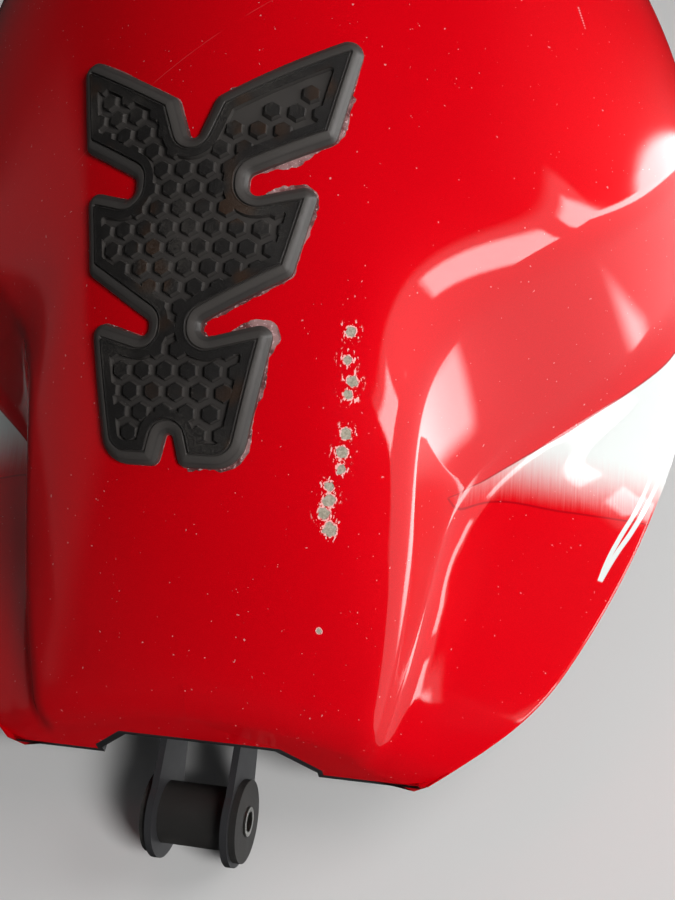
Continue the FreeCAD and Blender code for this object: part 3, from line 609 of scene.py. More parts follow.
@dataclass
class TankPad:
    """Moulded rubber pad: sloping skirt, fine rim, flat border, sunken field and hexagonal studs."""

    crown: Crown
    profile: Pairs = (
        (0, 1.0), (0.35, 1.9), (1.8, 3.0), (3.4, 3.9), (4.6, 4.35), (5.1, 4.42), (5.35, 4.2), (5.6, 3.4),
        (5.9, 3.4), (6.05, 4.65), (6.25, 4.9), (6.5, 4.9), (6.7, 4.72), (7.0, 4.7),
    )
    foot_height: float = -1.5
    least_corner: float = 0.35
    corner_step_deg: float = 11
    half_width: float = 70
    half_length: float = 98
    mesh_step: float = 3.5
    field_inset: float = 9.7
    field_corner: float = 1.2
    field_height: float = 2.6
    field_slope: float = 0.45
    neck_along: float = -41.9
    top_height: float = 4.7
    tool_proud: float = 2
    pitch: float = 9.5
    pattern_shift: tuple[float, float] = (-1.6, -0.7)
    plain_strip: float = 15
    flats: float = 7.5
    draft: float = 0.80
    stud_proud: float = 0.04
    stud_root: float = 0.4
    stud_bevel: float = 0.22
    stud_turn_deg: float = 1.5
    stud_outside: float = 2.4
    column_inset: float = 0.3
    column_drop: float = 0.9
    seed: int = 7

    def corners(self) -> list[tuple[Vector, float]]:
        """Corners of the whole pad.

        Returns:
            Each corner laid flat, in millimetres, with its radius.
        """
        right = [(Vector((across, along)), radius) for across, along, radius in PAD_RIGHT]
        left = [(Vector((-across, along)), radius) for across, along, radius in reversed(PAD_LEFT[1:-1])]
        return right + left

    def corner_arc(self, k: int, inset: float, least: float) -> list[Vector]:
        """Points round one corner of the pad, drawn in. Their number doesn't hang on the inset.

        Args:
            k: Which corner.
            inset: Distance inwards.
            least: Least radius of a corner that points outwards.

        Returns:
            Points laid flat, in millimetres.
        """
        corners = self.corners()
        corner, radius = corners[k]
        came = (corner - corners[k - 1][0]).normalized()
        goes = (corners[(k + 1) % len(corners)][0] - corner).normalized()
        turn = math.atan2(came.x * goes.y - came.y * goes.x, came.dot(goes))
        inner = Vector((came.y, -came.x)) + Vector((goes.y, -goes.x))
        inner = inner.normalized() / math.cos(turn / 2)
        hollow = turn > 0
        bend = radius + inset if hollow else max(radius - inset, least)
        middle = corner + inner * (inset - bend if hollow else inset + bend)
        start = math.atan2(came.x, -came.y) + (math.pi if hollow else 0)
        count = max(3, round(abs(turn) / math.radians(self.corner_step_deg)))
        turns = np.linspace(start, start + turn, count + 1)
        return [middle + Vector((math.cos(a), math.sin(a))) * bend for a in turns]

    def outline(self, inset: float) -> list[Vector]:
        """Rounded outline of the pad, drawn in by an inset."""
        corners = range(len(self.corners()))
        return [point for k in corners for point in self.corner_arc(k, inset, self.least_corner)]

    def pockets(self, inset: float) -> list[list[Vector]]:
        """Outlines of the sunken fields. The neck of the pad parts them.

        Args:
            inset: Distance from the pad's outline.

        Returns:
            Closed outlines laid flat, in millimetres.
        """
        arcs = [self.corner_arc(k, inset, self.field_corner) for k in range(len(self.corners()))]
        turn = len(PAD_RIGHT) - 1
        first, last = arcs[0], arcs[turn]
        right = first[len(first) // 2:] + sum(arcs[1:turn], []) + last[:(len(last) + 1) // 2]
        left = last[len(last) // 2:] + sum(arcs[turn + 1:], []) + first[:(len(first) + 1) // 2]
        points = [point for point in right if point.x > 0.01] + [point for point in left if point.x < -0.01]
        upper = [point for point in points if point.y > self.neck_along]
        return [upper, [point for point in points if point.y <= self.neck_along]]

    def prism(self, inset: float, low: float, slope: float) -> BMesh:
        """Solid over the sunken fields, its sides drawn in towards the bottom.

        Args:
            inset: Distance from the pad's outline.
            low: Height of its bottom.
            slope: How far the bottom is drawn in.

        Returns:
            The solid laid flat.
        """
        bm = bmesh.new()
        high = self.top_height + self.tool_proud
        for outline in self.pockets(inset):
            lid = bm.faces.new([bm.verts.new((*point, high)) for point in outline])
            base = drawn_up(bm, lid)
            for vert in base.verts:
                vert.co.z = self.top_height
            if slope:
                bmesh.ops.inset_region(bm, faces=[base], thickness=slope, use_even_offset=True)
            for vert in base.verts:
                vert.co.z = low
        bmesh.ops.recalc_face_normals(bm, faces=bm.faces)
        return bm

    def wrap(self, bm: BMesh) -> BMesh:
        """Lays a flat bmesh on the crown and notes each point's height for the finish.

        Args:
            bm: The shape laid flat, in millimetres.

        Returns:
            The same bmesh, in metres.
        """
        rise = bm.verts.layers.float.new("rise")
        for vert in bm.verts:
            vert[rise] = vert.co.z
            vert.co = self.crown.lay(vert.co)
        return bm

    def slice(self, bm: BMesh) -> BMesh:
        """Cuts wide faces into short stretches so that they can bend.

        Args:
            bm: The shape laid flat.

        Returns:
            The same bmesh.
        """
        for axis, reach in ((Vector((1, 0, 0)), self.half_width), (Vector((0, 1, 0)), self.half_length)):
            count = int(2 * reach / self.mesh_step)
            for k in range(1, count):
                geom = list(bm.verts) + list(bm.edges) + list(bm.faces)
                place = axis * (-reach + k * 2 * reach / count)
                bmesh.ops.bisect_plane(bm, geom=geom, dist=1e-4, plane_co=place, plane_no=axis)
        return bm

    def body(self) -> BMesh:
        """Skirt, groove, rim, border and sunken fields laid flat.

        Returns:
            The bmesh.
        """
        bm = bmesh.new()
        ring = self.outline(0)
        top = bm.faces.new([bm.verts.new((*point, self.foot_height)) for point in ring])
        for inset, height in self.profile:
            made = drawn_up(bm, top)
            bmesh.ops.delete(bm, geom=[top], context="FACES_ONLY")
            top = made
            order = {(round(point.x, 4), round(point.y, 4)): k for k, point in enumerate(ring)}
            ring = self.outline(inset)
            for vert in top.verts:
                vert.co = Vector((*ring[order[round(vert.co.x, 4), round(vert.co.y, 4)]], height))
        foot = [edge for edge in bm.edges if edge.is_boundary]
        bmesh.ops.holes_fill(bm, edges=foot, sides=0)
        bmesh.ops.recalc_face_normals(bm, faces=bm.faces)
        return carve(bm, self.prism(self.field_inset, self.field_height, self.field_slope), Cut.AWAY)

    def depth_inside(self, place: Vector, limit: list[Vector]) -> float:
        """How far a place lies inside an outline.

        Args:
            place: The place laid flat.
            limit: The outline.

        Returns:
            Distance from the outline, below zero where the place lies outside.
        """
        within, nearest = False, math.inf
        for a, b in zip(limit, limit[1:] + limit[:1]):
            run = b - a
            if (a.y > place.y) != (b.y > place.y) and place.x < run.x * (place.y - a.y) / run.y + a.x:
                within = not within
            share = (place - a).dot(run) / max(run.length_squared, 1e-9)
            nearest = min(nearest, (a + run * max(0.0, min(1.0, share)) - place).length)
        return nearest if within else -nearest

    def stud_places(self) -> list[Vector]:
        """Centres of the studs. Those at the border's edge are cut by it.

        Returns:
            Centres laid flat, in millimetres.
        """
        row_pitch = self.pitch * math.sqrt(3) / 2
        first, last = Vector(PAD_RIGHT[1][:2]), Vector(PAD_RIGHT[2][:2])
        strip = (last - first).normalized()
        pockets = self.pockets(self.field_inset)
        places = []
        for row in range(-11, 11):
            for column in range(-8, 9):
                across = (column + (row + 1) % 2 / 2) * self.pitch
                place = Vector((across, row * row_pitch)) + Vector(self.pattern_shift)
                beside = abs((place - first).cross(strip)) < self.plain_strip and place.x > 0
                near = any(self.depth_inside(place, limit) > -self.stud_outside for limit in pockets)
                if near and not beside:
                    places.append(place)
        return places

    def studs(self) -> BMesh:
        """Hexagonal studs laid flat, each with a bevelled top.

        Returns:
            The studs as one bmesh.
        """
        bm = bmesh.new()
        rng = random.Random(self.seed)
        radius = self.flats / math.sqrt(3)
        foot = self.field_height - self.stud_root
        depth = self.top_height + self.stud_proud - foot
        for place in self.stud_places():
            jitter = math.radians(rng.uniform(-self.stud_turn_deg, self.stud_turn_deg))
            turn = Matrix.Translation((*place, foot + depth / 2)) @ Matrix.Rotation(jitter, 4, "Z")
            made = bmesh.ops.create_cone(bm, cap_ends=True, cap_tris=False, segments=6, radius1=radius,
                                         radius2=radius * self.draft, depth=depth, matrix=turn)
            faces = {face for vert in made["verts"] for face in vert.link_faces if face.normal.z > 0.9}
            edges = {edge for face in faces for edge in face.edges}
            bmesh.ops.bevel(bm, geom=list(edges), offset=self.stud_bevel, offset_type="OFFSET", segments=1,
                            profile=0.5, affect="EDGES", material=-1)
        column = self.prism(self.field_inset - self.column_inset, self.field_height - self.column_drop, 0)
        return carve(bm, column, Cut.KEEP)

    def build(self, shop: Shop) -> None:
        """Makes the pad with its studs.

        Args:
            shop: Where the pieces are finished.
        """
        pad = shop.piece("rubber_pad", self.wrap(self.slice(self.body())), TANK, Slot.PAD, 28)
        studs = shop.piece("rubber_studs", self.wrap(self.studs()), TANK, Slot.PAD, 20)
        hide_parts("tank_pad")
        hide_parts("pad_studs")


@dataclass
class PadFilm:
    """Ragged film of adhesive and dirt that shows past the pad's edge."""

    pad: TankPad
    inset: float = 0.3
    longest_run: float = 4
    cuts: int = 31
    least: float = 0.45
    wide: float = 3.2
    narrow: float = 0.4
    top: float = 0.14
    foot: float = -0.4

    def width(self, place: Vector) -> float:
        """How far the film reaches at a place. It is wide on the right side, below the upper wing.

        Args:
            place: Point of the pad's outline, laid flat.

        Returns:
            Width of the film, in millimetres.
        """
        wide = self.wide if place.x > 8 and place.y < 60 else self.narrow
        ragged = noise.noise(place * 0.06 + Vector((3, 0, 9))) + 0.22 * noise.noise(place * 0.5)
        return self.least + wide * max(0.0, min(1.0, 0.25 + ragged * 1.3))

    def build(self, shop: Shop, finish: Material) -> None:
        """Makes the film.

        Args:
            shop: Where the piece is finished.
            finish: Its own finish.
        """
        bm = bmesh.new()
        bm.faces.new([bm.verts.new((*point, 0)) for point in self.pad.outline(self.inset)])
        runs = [edge for edge in bm.edges if edge.calc_length() > self.longest_run]
        bmesh.ops.subdivide_edges(bm, edges=runs, cuts=self.cuts)
        face = list(bm.faces)[0]
        outline = list(face.verts)
        count = len(outline)
        flow = [outline[(k + 1) % count].co - outline[k - 1].co for k in range(count)]
        for vert, run in zip(outline, flow):
            vert.co += Vector((-run.y, run.x, 0)).normalized() * self.width(vert.co)
            vert.co.z = self.top
        made = bmesh.ops.extrude_face_region(bm, geom=[face])["geom"]
        for vert in [item for item in made if isinstance(item, BMVert)]:
            vert.co.z = self.foot
        bmesh.ops.recalc_face_normals(bm, faces=bm.faces)
        shop.piece("pad_film", self.pad.wrap(self.pad.slice(bm)), TANK, Slot.PAD, 30, finish)


@dataclass
class Fasteners:
    """Screws and bolts that hold the filler ring, the pump and the front bracket."""

    under: Underside = Underside()
    sunk: float = 0.2
    screw_radius: float = 3.1
    screw_height: float = 1.9
    socket_radius: float = 1.5
    socket_floor: float = 0.8
    bolt_radius: float = 4.5
    bolt_height: float = 4.2
    washer_radius: float = 5.2
    washer_height: float = 0.8
    screw_circle: float = 51
    pump: tuple[float, float] = (275, 122)
    clamp_thick: float = 6
    clamp_circle: float = 54
    plate_thick: float = 3
    plate_rows: tuple[float, float] = (45, 17)
    plate_side: float = 18

    def socket_screw(self) -> BMesh:
        """Low round head with a hexagonal socket."""
        head = drum(28, self.screw_radius, -self.sunk, self.screw_height, 0.55)
        return carve(head, drum(6, self.socket_radius, self.socket_floor, self.screw_height + 1), Cut.AWAY)

    def hex_bolt(self) -> BMesh:
        """Hexagonal head on a washer."""
        washer = drum(28, self.washer_radius, -self.sunk, self.washer_height + 0.05, 0.2)
        return merged(drum(6, self.bolt_radius, self.washer_height, self.bolt_height, 0.5), washer)

    def ring_places(self) -> list[Matrix]:
        """Places of the seven screws round the filler. The hinge takes the eighth.

        Returns:
            Their placements.
        """
        centre, out = Matrix.Translation(FILLER), Matrix.Translation((self.screw_circle, 0, 0))
        places = []
        for k in range(1, 8):
            turn, socket = Matrix.Rotation(math.radians(45 * k), 4, "Z"), Matrix.Rotation(0.4 * k, 4, "Z")
            places.append(centre @ turn @ out @ socket)
        return places

    def clamp_places(self) -> list[Matrix]:
        """Places of the six bolts of the pump's clamp ring.

        Returns:
            Their placements.
        """
        x, y = self.pump
        down = self.under.down(self.under.rise_deg)
        middle = Vector((x, y, self.under.z(x) - self.under.pan_thick))
        base = towards(middle + down * self.clamp_thick, down)
        out = Matrix.Translation((self.clamp_circle, 0, 0))
        return [base @ Matrix.Rotation(math.radians(60 * k + 30), 4, "Z") @ out for k in range(6)]

    def front_places(self) -> list[Matrix]:
        """Places of the four bolts of the front bracket.

        Returns:
            Their placements.
        """
        down = self.under.down(self.under.roof_rise_deg)
        back = Vector((down.z, 0, -down.x))
        nose = STATIONS[-1].x
        start = Vector((nose, 0, self.under.roof(nose) - self.under.pan_thick)) + down * self.plate_thick
        sides = [Vector((0, side, 0)) for side in (self.plate_side, -self.plate_side)]
        return [towards(start + back * row + side, down) for row in self.plate_rows for side in sides]

    def build(self, shop: Shop) -> None:
        """Makes all the fasteners.

        Args:
            shop: Where the pieces are finished.
        """
        shop.piece("ring_screws", stamped(self.socket_screw(), self.ring_places()), TANK, Slot.BRIGHT)
        shop.piece("clamp_bolts", stamped(self.hex_bolt(), self.clamp_places()), TANK, Slot.ZINC)
        shop.piece("front_bolts", stamped(self.hex_bolt(), self.front_places()), TANK, Slot.ZINC)


@dataclass
class FillerTrim:
    """Small details of the filler: lid bead, lock face with its keyway, and a dark disc low in the well as
    painted shade of the tank's unlit inside.
    """

    bead: Pairs = ((32.4, -0.2), (32.6, 0.3), (33.0, 0.5), (34.0, 0.5), (34.4, 0.3), (34.6, -0.2))
    lock_radius: float = 6.4
    lock_top: float = 1.2
    keyway: tuple[float, float] = (6.6, 1.4)
    key_gap: float = 0.1
    # Size and height of the dark disc that paints the shade deep in the well.
    well_shade_disc_radius: float = 24.9
    well_shade_disc: float = -74.9

    def bar(self, length: float, width: float, low: float, high: float) -> BMesh:
        """Flat bar across the lock.

        Args:
            length: Its length.
            width: Its width.
            low: Height of its underside.
            high: Height of its top.

        Returns:
            The bmesh in millimetres.
        """
        bm = bmesh.new()
        scale = Matrix.Diagonal((length, width, high - low, 1))
        bmesh.ops.create_cube(bm, size=1, matrix=Matrix.Translation((0, 0, (low + high) / 2)) @ scale)
        return bm

    def build(self, shop: Shop) -> None:
        """Makes the trim.

        Args:
            shop: Where the pieces are finished.
        """
        place = [Matrix.Translation(FILLER)]
        top, floor = self.lock_top, self.well_shade_disc
        length, width = self.keyway
        hole = self.bar(length, width, top - 1, top + 1)
        face = carve(drum(48, self.lock_radius, top - 0.2, top + 0.2, 0.08), hole, Cut.AWAY)
        keyway = self.bar(length - self.key_gap, width - self.key_gap, top - 0.2, top + 0.04)
        # Dark disc deep in the well: painted shade of the unlit inside of the tank.
        well = drum(48, self.well_shade_disc_radius, floor, floor + 0.5)
        shop.piece("lid_bead", stamped(turned(self.bead, 96, True), place), CAP, Slot.ANODISED)
        shop.piece("lock_face", stamped(face, place), CAP, Slot.BRIGHT)
        shop.piece("keyway", stamped(keyway, place), CAP, Slot.PLASTIC)
        shop.piece("well_shade_disc", stamped(well, place), TANK, Slot.PLASTIC)


@dataclass
class Graph:
    """Short way to add nodes to a tree."""

    tree: NodeTree

    def feed(self, socket: NodeSocket, value: object) -> None:
        """Links an output to a socket, or sets a plain value on it.

        Args:
            socket: Input of a node.
            value: Output of a node, or a plain value.
        """
        if isinstance(value, NodeSocket):
            self.tree.links.new(value, socket)
        else:
            socket.default_value = value

    def node(self, kind: str, inputs: dict[int | str, object] | None = None, **settings: object) -> Node:
        """Adds one node.

        Args:
            kind: Its type, without the word that all of them start with.
            inputs: Outputs of nodes or plain values for its inputs, by number or name.
            settings: Its own properties.

        Returns:
            The node.
        """
        node = self.tree.nodes.new("ShaderNode" + kind)
        for name, value in settings.items():
            setattr(node, name, value)
        for key, value in (inputs or {}).items():
            self.feed(node.inputs[key], value)
        return node

    def math(self, operation: str, *values: object, clamp: bool = False) -> NodeSocket:
        """Result of one Math node, kept between 0 and 1 if wanted."""
        return self.node("Math", dict(enumerate(values)), operation=operation, use_clamp=clamp).outputs[0]

    def chain(self, operation: str, values: tuple[object, ...]) -> NodeSocket:
        """Joins values one after another by an operation."""
        return reduce(lambda first, second: self.math(operation, first, second), values)

    def plus(self, *values: object) -> NodeSocket:
        """Sum of values."""
        return self.chain("ADD", values)

    def times(self, *values: object) -> NodeSocket:
        """Product of values."""
        return self.chain("MULTIPLY", values)

    def most(self, *values: object) -> NodeSocket:
        """Largest of some values."""
        return self.chain("MAXIMUM", values)

    def least(self, *values: object) -> NodeSocket:
        """Smallest of some values."""
        return self.chain("MINIMUM", values)

    def minus(self, first: object, second: object) -> NodeSocket:
        """Difference of two values."""
        return self.math("SUBTRACT", first, second)

    def gap(self, first: object, second: object) -> NodeSocket:
        """How far two values lie apart."""
        return self.math("ABSOLUTE", self.minus(first, second))

    def ramp(self, value: NodeSocket, low: float, high: float, first: float = 0,
             last: float = 1) -> NodeSocket:
        """Smooth step of a value, from the first result at its low end to the last at its high end."""
        inputs = {"Value": value, "From Min": low, "From Max": high, "To Min": first, "To Max": last}
        return self.node("MapRange", inputs, interpolation_type="SMOOTHSTEP").outputs["Result"]

    def fall(self, value: NodeSocket, low: float, high: float, first: float = 1) -> NodeSocket:
        """Smooth step down to nothing."""
        return self.ramp(value, low, high, first, 0)

    def mix(self, factor: object, first: object, second: object) -> NodeSocket:
        """Mixes two colours, where the factor is the share of the second."""
        inputs = {"Factor": factor, "A": first, "B": second}
        return self.node("Mix", inputs, data_type="RGBA").outputs["Result"]

    def either(self, factor: NodeSocket, first: NodeSocket, second: NodeSocket) -> NodeSocket:
        """Mixes two shaders, where the factor is the share of the second."""
        return self.node("MixShader", {0: factor, 1: first, 2: second}).outputs[0]

    def axes(self, vector: NodeSocket) -> list[NodeSocket]:
        """X, Y and Z of a vector."""
        return list(self.node("SeparateXYZ", {0: vector}).outputs)

    def curve(self, value: NodeSocket, points: Pairs) -> NodeSocket:
        """Smooth curve through a few points.

        Args:
            value: What is read.
            points: Value and result pairs in millimetres, with rising values.

        Returns:
            The result, in the unit of the value.
        """
        low, high = points[0][0], points[-1][0]
        results = [result for _, result in points]
        bottom, top = min(results), max(results)
        share = self.math("DIVIDE", self.minus(value, low * MM), (high - low) * MM, clamp=True)
        node = self.node("FloatCurve", {"Value": share})
        line = node.mapping.curves[0]
        places = [((at - low) / (high - low), (result - bottom) / (top - bottom)) for at, result in points]
        line.points[0].location, line.points[1].location = places[0], places[-1]
        for place in places[1:-1]:
            line.points.new(*place)
        node.mapping.update()
        return self.math("MULTIPLY_ADD", node.outputs[0], (top - bottom) * MM, bottom * MM)


class Nodes(Graph):
    """Node tree of a new material with its shader."""

    def __init__(self, name: str) -> None:
        """Starts an empty material.

        Args:
            name: Its name.
        """
        self.material = bpy.data.materials.new(name)
        self.material.use_nodes = True
        super().__init__(self.material.node_tree)
        self.tree.nodes.clear()
        self.shader = self.node("BsdfPrincipled")
        self.output = self.node("OutputMaterial", {"Surface": self.shader.outputs[0]}).inputs["Surface"]
        self.coords = self.node("TexCoord").outputs["Object"]

    def noise(self, scale: float, detail: float = 3, roughness: float = 0.5,
              vector: NodeSocket | None = None) -> NodeSocket:
        """Soft noise on the object's own coordinates.

        Args:
            scale: Its scale in waves per metre.
            detail: Number of finer layers.
            roughness: Strength of the finer layers.
            vector: Coordinates to read instead.

        Returns:
            Its value.
        """
        inputs = {"Vector": vector or self.coords, "Scale": scale, "Detail": detail, "Roughness": roughness}
        return self.node("TexNoise", inputs).outputs["Fac"]

    def stretched(self, scale: Vector, turn: Vector = Vector((0, 0, 0))) -> NodeSocket:
        """The object's coordinates turned and stretched, for grain and scratches."""
        return self.node("Mapping", {"Vector": self.coords, "Scale": scale, "Rotation": turn}).outputs[0]

    def attribute(self, name: str) -> NodeSocket:
        """Value stored on the mesh."""
        return self.node("Attribute", attribute_name=name).outputs["Fac"]

    def distance(self, place: Vector) -> NodeSocket:
        """Distance from a place in metres."""
        return self.node("VectorMath", {0: self.coords, 1: place}, operation="DISTANCE").outputs["Value"]

    def bump(self, height: NodeSocket, depth: float, strength: float = 1.0,
             under: NodeSocket | None = None) -> NodeSocket:
        """Surface relief.

        Args:
            height: Its height, from 0 to 1.
            depth: What 1 stands for, in metres.
            strength: How much of it shows.
            under: Relief that it lies on.

        Returns:
            The normal.
        """
        inputs = {"Strength": strength, "Distance": depth, "Height": height}
        if under is not None:
            inputs["Normal"] = under
        return self.node("Bump", inputs).outputs["Normal"]

    def set(self, **values: object) -> None:
        """Sets or links the shader's sockets, named with underscores for spaces."""
        for name, value in values.items():
            self.feed(self.shader.inputs[name.replace("_", " ")], value)


def grey(level: float, warm: float = 0.0) -> Color:
    """Plain grey, a little warm if wanted."""
    return (level * (1 + warm), level, level * (1 - warm), 1.0)


@dataclass(frozen=True)
class RubberFinish:
    """Moulded rubber or plastic with a fine grain, dust and worn edges."""

    name: str
    level: float = 0.018
    roughness: float = 0.5
    grain: float = 900
    dust: float = 0.10
    dust_color: Color = grey(0.16, 0.06)

    def material(self) -> Material:
        """Builds the material.

        Returns:
            The material.
        """
        n = Nodes(self.name)
        cloud = n.noise(35, 5, 0.6)
        dusty = n.times(n.ramp(cloud, 0.45, 0.75), self.dust)
        n.set(Base_Color=n.mix(dusty, grey(self.level, 0.05), self.dust_color), Specular_IOR_Level=0.45)
        n.set(Roughness=n.ramp(cloud, 0.3, 0.7, self.roughness - 0.07, self.roughness + 0.12))
        n.set(Normal=n.bump(n.noise(self.grain, 3, 0.6), 0.00012, 0.6))
        return n.material


@dataclass(frozen=True)
class PadFinish:
    """Rubber of the pad: smooth skirt and field, stud walls lightened by a painted sheen, rough tops darkened
    by painted shade, with ground-in dust.
    """

    name: str = "pad_rubber"
    field_height: float = TankPad.field_height
    top_height: float = TankPad.top_height
    smooth_color: Color = (0.024, 0.022, 0.021, 1)
    # Darker colour of the stud tops: painted shade.
    shaded_top_color: Color = (0.0125, 0.0115, 0.011, 1)
    brown: Color = (0.04, 0.018, 0.008, 1)
    grit_color: Color = (0.14, 0.125, 0.11, 1)
    # Colour of settled dust, also laid on the stud walls as a painted sheen.
    dust_color: Color = (0.20, 0.18, 0.165, 1)

    def material(self) -> Material:
        """Builds the material. The height on the pad tells the tops, the walls and the field apart.

        Returns:
            The material.
        """
        n = Nodes(self.name)
        rise = n.attribute("rise")
        top = n.ramp(rise, self.top_height - 0.35, self.top_height - 0.02)
        low = n.fall(rise, self.field_height + 0.2, self.field_height + 0.9)
        beside = n.minus(1.0, top)
        # Stud walls: mask of the painted sheen.
        wall_sheen = n.times(n.ramp(rise, self.field_height + 0.3, self.field_height + 0.9), beside)
        cloud, grit = n.noise(28, 4, 0.6), n.noise(1500, 3, 0.65)
        browned = n.times(n.ramp(n.noise(40, 2, 0.5), 0.56, 0.70), top, 0.55)
        # The stud tops get the darker colour as painted shade.
        color = n.mix(browned, n.mix(top, self.smooth_color, self.shaded_top_color), self.brown)
        dusty = n.times(n.ramp(n.times(cloud, grit), 0.24, 0.40), 0.22, top)
        settled = n.times(low, n.ramp(cloud, 0.35, 0.65, 0.07, 0.15))
        color = n.mix(dusty, color, self.grit_color)
        # Field: settled dust. Stud walls: a painted sheen of 15% in the dust colour.
        n.set(Base_Color=n.mix(n.most(settled, n.times(wall_sheen, 0.15)), color, self.dust_color))
        smooth, rough = n.ramp(cloud, 0.3, 0.7, 0.33, 0.45), n.ramp(grit, 0.3, 0.7, 0.62, 0.85)
        n.set(Roughness=n.plus(n.times(rough, top), n.times(smooth, beside)), Specular_IOR_Level=0.6)
        n.set(Normal=n.bump(n.times(grit, n.math("MULTIPLY_ADD", top, 0.8, 0.2)), 0.00022, 0.7))
        return n.material


@dataclass(frozen=True)
class FilmFinish:
    """Thin grey film of old adhesive with the red shining through and pale broken edges."""

    name: str = "pad_film"
    thin: Color = (0.10, 0.030, 0.030, 1)
    thick: Color = (0.30, 0.17, 0.165, 1)
    crumbs: Color = (0.55, 0.36, 0.36, 1)

    def material(self) -> Material:
        """Builds the material.

        Returns:
            The material.
        """
        n = Nodes(self.name)
        crumb = n.noise(900, 3, 0.6)
        color = n.mix(n.ramp(n.noise(130, 4, 0.6), 0.4, 0.62), self.thin, self.thick)
        n.set(Base_Color=n.mix(n.ramp(crumb, 0.56, 0.68), color, self.crumbs))
        n.set(Roughness=n.ramp(crumb, 0.3, 0.7, 0.45, 0.75), Normal=n.bump(crumb, 0.00015, 0.8))
        return n.material


@dataclass(frozen=True)
class MetalFinish:
    """Plated, anodised or enamelled metal with fine marks."""

    name: str
    color: Color
    metallic: float
    roughness: float
    grain: float = 260
    stain: float = 0.12
    depth: float = 0.00002

    def material(self) -> Material:
        """Builds the material.

        Returns:
            The material.
        """
        n = Nodes(self.name)
        cloud = n.noise(22, 5, 0.6)
        dark = tuple(part * (1 - self.stain * 2) for part in self.color)
        n.set(Base_Color=n.mix(n.ramp(cloud, 0.4, 0.7), (*self.color, 1.0), (*dark, 1.0)))
        n.set(Roughness=n.ramp(cloud, 0.3, 0.7, self.roughness * 0.8, min(1.0, self.roughness * 1.3)))
        n.set(Normal=n.bump(n.noise(self.grain, 4, 0.6), self.depth, 0.5), Metallic=self.metallic)
        return n.material


# Places where the paint is knocked off, in millimetres: X, Y and Z of the middle, and the radius.
CHIPS = [
    (137, -61, 157, 2.0), (128, -60.5, 150, 1.7), (122, -63, 144, 2.1), (117.5, -61.5, 141, 1.8),
    (106, -61.5, 131, 2.1), (100.5, -60, 126, 2.4), (95, -60.5, 122, 1.9), (89.5, -56, 118, 1.9),
    (85.5, -56, 114, 2.5), (81.5, -54.5, 111, 2.3), (77.5, -57, 106, 2.6), (49, -54, 77, 1.1),
]


